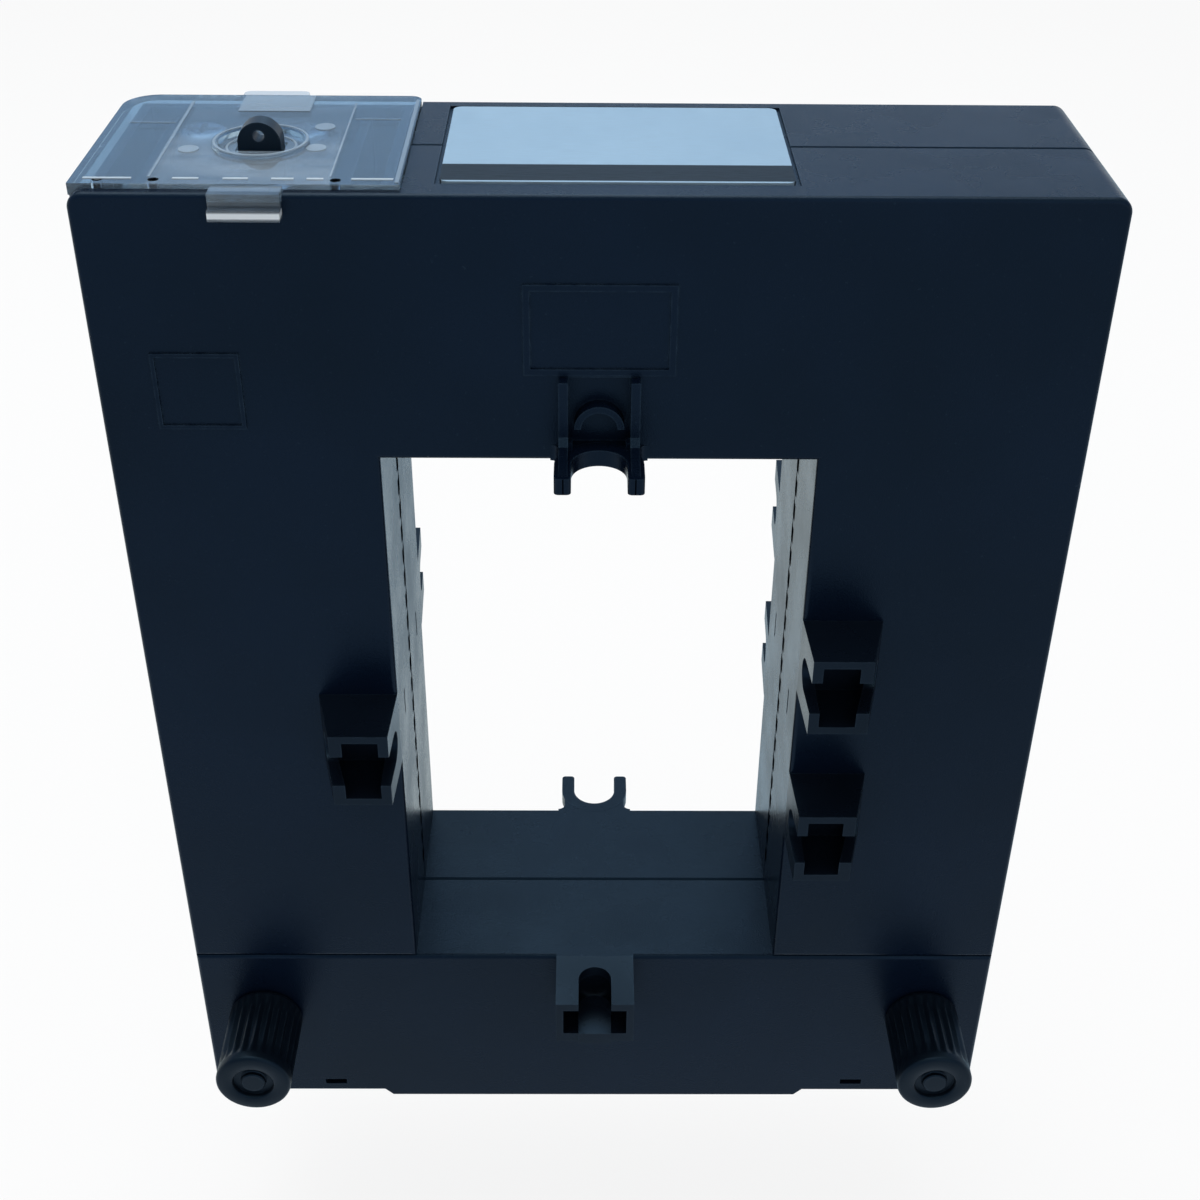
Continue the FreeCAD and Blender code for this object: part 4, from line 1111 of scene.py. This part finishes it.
@dataclass
class CoverRidges:
    """Fine mouldings on the clear cover: ribs, a broken rail along its front whose lighter finish is a
    painted highlight, pads and rings.

    A rib is given by its left, right, front and back, a ring by its radii and the level it stands on.
    """

    top: float = 143.05
    sink: float = 0.1
    proud: float = 0.08
    bevel: float = 0.04
    ribs: tuple[tuple[float, float, float, float], ...] = (
        (-48.85, -48.5, -12.4, 13.4), (-29.25, -29.05, -12.2, 12.8), (-22.1, -21.65, -13.9, 14.2),
        (-54.6, -49.3, 5.4, 5.6), (-28.6, -23.3, 6.95, 7.15), (-42.8, -34.3, 9.8, 15.7),
    )
    rail: Span = (-13.05, -12.6)
    rail_parts: tuple[Span, ...] = (
        (-55.6, -50.4), (-46.0, -43.2), (-40.6, -37.9), (-35.4, -33.0), (-31.6, -29.8),
        (-26.8, -22.3),
    )
    pads: tuple[Span, ...] = ((-46.1, -3.5), (-31.9, -2.9), (-31.8, 4.3))
    pad_radius: float = 1.2
    lug: Span = (-38.3, -1.35)
    rings: tuple[Triple, ...] = ((5.05, 5.4, 143.45), (3.7, 4.05, 142.65))
    wire_holes: tuple[float, ...] = (-54.0, -48.0, -28.5)
    wire_hole_y: float = -13.1
    shade_tube: Span = (0.3, 0.57)
    shade_tube_mm: Span = (141.85, 143.03)

    def build(self) -> None:
        """Makes the mouldings and the dark tubes of painted shade in the wire holes, which lift with the
        cover.
        """
        rail = self.bars((x0, x1, *self.rail) for x0, x1 in self.rail_parts)
        added(self.ridges(), "cover_ridges", Finish.RIDGE, "cover")
        added(rail, "cover_rail", Finish.RAIL, "cover")
        added(self.shade_tubes(), "cover_hole_shade_tubes", Finish.SHADE_INLAY, "cover")

    def bars(self, plans: Iterable[tuple[float, float, float, float]]) -> bmesh.types.BMesh:
        """Raises straight ribs on the cover's top.

        Args:
            plans: Left, right, front and back of each rib.

        Returns:
            The mesh.
        """
        mesh = bmesh.new()
        for x0, x1, y0, y1 in plans:
            add_box(mesh, (x0, y0, self.top - self.sink), (x1, y1, self.top + self.proud))
        return mesh

    def shade_tubes(self) -> bmesh.types.BMesh:
        """Puts a short dark tube of painted shade in each hole for the sealing wire.

        Returns:
            The mesh.
        """
        (inner, outer), (low, high) = self.shade_tube, self.shade_tube_mm
        mesh = bmesh.new()
        for x in self.wire_holes:
            tube = spun([(inner, low), (outer, low), (outer, high), (inner, high)], 24, True)
            bmesh.ops.translate(tube, vec=(x, self.wire_hole_y, 0.0), verts=tube.verts)
            merge_in(mesh, tube)
        return mesh

    def ridges(self) -> bmesh.types.BMesh:
        """Raises the ribs, pads and rings.

        Returns:
            The mesh.
        """
        mesh = self.bars(self.ribs)
        rise, middle = self.sink + self.proud, self.top + (self.proud - self.sink) / 2
        for x, y in self.pads:
            pad = bmesh.ops.create_cone(mesh, cap_ends=True, segments=28, radius1=self.pad_radius,
                                        radius2=self.pad_radius - self.bevel, depth=rise)
            bmesh.ops.translate(mesh, vec=(x, y, middle), verts=pad["verts"])
        for inner, outer, level in self.rings:
            low, high = level - self.sink, level + self.proud
            corners = [(inner, low), (outer, low)]
            corners += [(outer - self.bevel, high), (inner + self.bevel, high)]
            ring = spun(corners, 72, True)
            bmesh.ops.translate(ring, vec=(*self.lug, 0.0), verts=ring.verts)
            merge_in(mesh, ring)
        return mesh


@dataclass
class TerminalCompartment:
    """Tray, terminals, clear cover and plate on top of the housing."""

    terminals: Span = (-46.5, -34.6)

    def build(self, nodes: Nodes) -> None:
        """Dresses the compartment and makes its screws.

        Args:
            nodes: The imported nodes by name.
        """
        dress(nodes["terminal_tray"], Finish.TRAY)
        dress(nodes["terminal_cover"], Finish.COVER)
        dress(nodes["rating_label"], Finish.PLATE)
        for side, across in zip(Side, self.terminals):
            dress(nodes[f"{side.word}_terminal_plate"], Finish.ZINC)
            ClampScrew(side, across).build(nodes)
        CoverRidges().build()


@dataclass(frozen=True)
class Lamp:
    """One soft square lamp: its place and aim, its side in metres, its power and its colour."""

    name: str
    spot: Triple
    aim: Triple
    size: float
    watts: float
    colour: Colour = WHITE

    def build(self) -> None:
        """Hangs the lamp."""
        data = bpy.data.lights.new(self.name, "AREA")
        data.color = self.colour
        data.size = self.size
        data.energy = self.watts
        lamp = bpy.data.objects.new(self.name, data)
        lamp.location = self.spot
        lamp.rotation_mode = "QUATERNION"
        lamp.rotation_quaternion = (Vector(self.aim) - Vector(self.spot)).to_track_quat("-Z", "Y")
        bpy.context.scene.collection.objects.link(lamp)


@dataclass
class Studio:
    """Floor, sky, lamps and the camera at the photograph's place."""

    eye_mm: Triple = (-1.553, -190.075, 207.738)
    pitch: float = 0.5911
    yaw: float = -0.0105
    roll: float = 0.0092
    focal_px: float = 1704.39
    frame_px: float = 1200.0
    sensor_mm: float = 36.0
    ambient: float = 0.5
    sky_bands: tuple[tuple[float, Colour], ...] = (
        (0.04, WHITE), (0.22, (0.29, 0.5, 0.79)), (0.48, (0.29, 0.5, 0.79)), (0.68, (0.75, 0.97, 1.0)),
    )
    lamps: tuple[Lamp, ...] = (
        Lamp("top_lamp", (-0.1, 0.15, 0.9), (0.0, 0.0, 0.1), 0.7, 5.0),
        Lamp("front_lamp", (0.5, -0.9, 0.5), (0.0, 0.0, 0.07), 0.8, 1.2),
        Lamp("back_lamp", (0.0, 0.42, 0.5), (0.0, 0.0, 0.03), 0.16, 0.25, (0.5, 0.75, 1.0)),
    )

    def camera(self) -> None:
        """Puts the camera where the photograph was taken from."""
        data = bpy.data.cameras.new("camera")
        data.sensor_width = self.sensor_mm
        data.lens = self.focal_px / self.frame_px * self.sensor_mm
        data.clip_start = 0.01
        camera = bpy.data.objects.new("camera", data)
        right = Vector((math.cos(self.yaw), math.sin(self.yaw), 0.0))
        level = Vector((-math.sin(self.yaw), math.cos(self.yaw), 0.0))
        up = Vector(UP)
        ahead = level * math.cos(self.pitch) - up * math.sin(self.pitch)
        above = level * math.sin(self.pitch) + up * math.cos(self.pitch)
        tilted = right * math.cos(self.roll) + above * math.sin(self.roll)
        crown = above * math.cos(self.roll) - right * math.sin(self.roll)
        turn = Matrix((tilted, crown, -ahead)).transposed().to_4x4()
        camera.matrix_world = Matrix.Translation(Vector(self.eye_mm) * MM) @ turn
        bpy.context.scene.collection.objects.link(camera)
        bpy.context.scene.camera = camera

    def sky(self) -> None:
        """Makes the sky, plain white as light and white to cool blue by height where it is seen."""
        world = bpy.data.worlds.new("studio")
        bpy.context.scene.world = world
        bench = NodeBench(world)
        heading = bench.node("ShaderNodeTexCoord", {}).outputs["Generated"]
        bands = bench.node("ShaderNodeValToRGB", {"Fac": bench.axes(heading)["Z"]})
        stops = bands.color_ramp.elements
        while len(stops) < len(self.sky_bands):
            stops.new(1.0)
        for stop, (height, colour) in zip(stops, self.sky_bands):
            stop.position = height
            stop.color = (*colour, 1.0)
        seen = bench.looked_at()
        strength = bench.ranged(seen, (0.0, 1.0), self.ambient, 1.0)
        tone = bench.mixed(seen, WHITE, bands.outputs["Color"])
        glow = bench.node("ShaderNodeBackground", {"Strength": strength, "Color": tone})
        bench.node("ShaderNodeOutputWorld", {"Surface": glow.outputs[0]})

    def build(self) -> None:
        """Sets the whole studio up."""
        self.camera()
        self.sky()
        Floor().build()
        for lamp in self.lamps:
            lamp.build()


def main() -> None:
    """Builds the transformer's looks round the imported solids."""
    logging.basicConfig(level=logging.INFO, format="%(name)s: %(message)s")
    bpy.context.scene.view_settings.view_transform = "Standard"
    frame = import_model()
    nodes = frame["nodes"]
    Enclosure().build(nodes)
    FamilyPieces().build(nodes)
    TerminalCompartment().build(nodes)
    HolderProngs("top_front_prongs", "housing", -1, 110.5).build()
    HolderProngs("top_rear_prongs", "housing", 1, 110.5).build()
    HolderProngs("bottom_rear_prongs", "yoke", 1, 27.5).build()
    for side in Side:
        WindowSeam(side).build()
        Thumbscrew(side).build(nodes)
    Studio().build()
    bpy.context.view_layer.update()


if __name__ == "__main__":
    main()
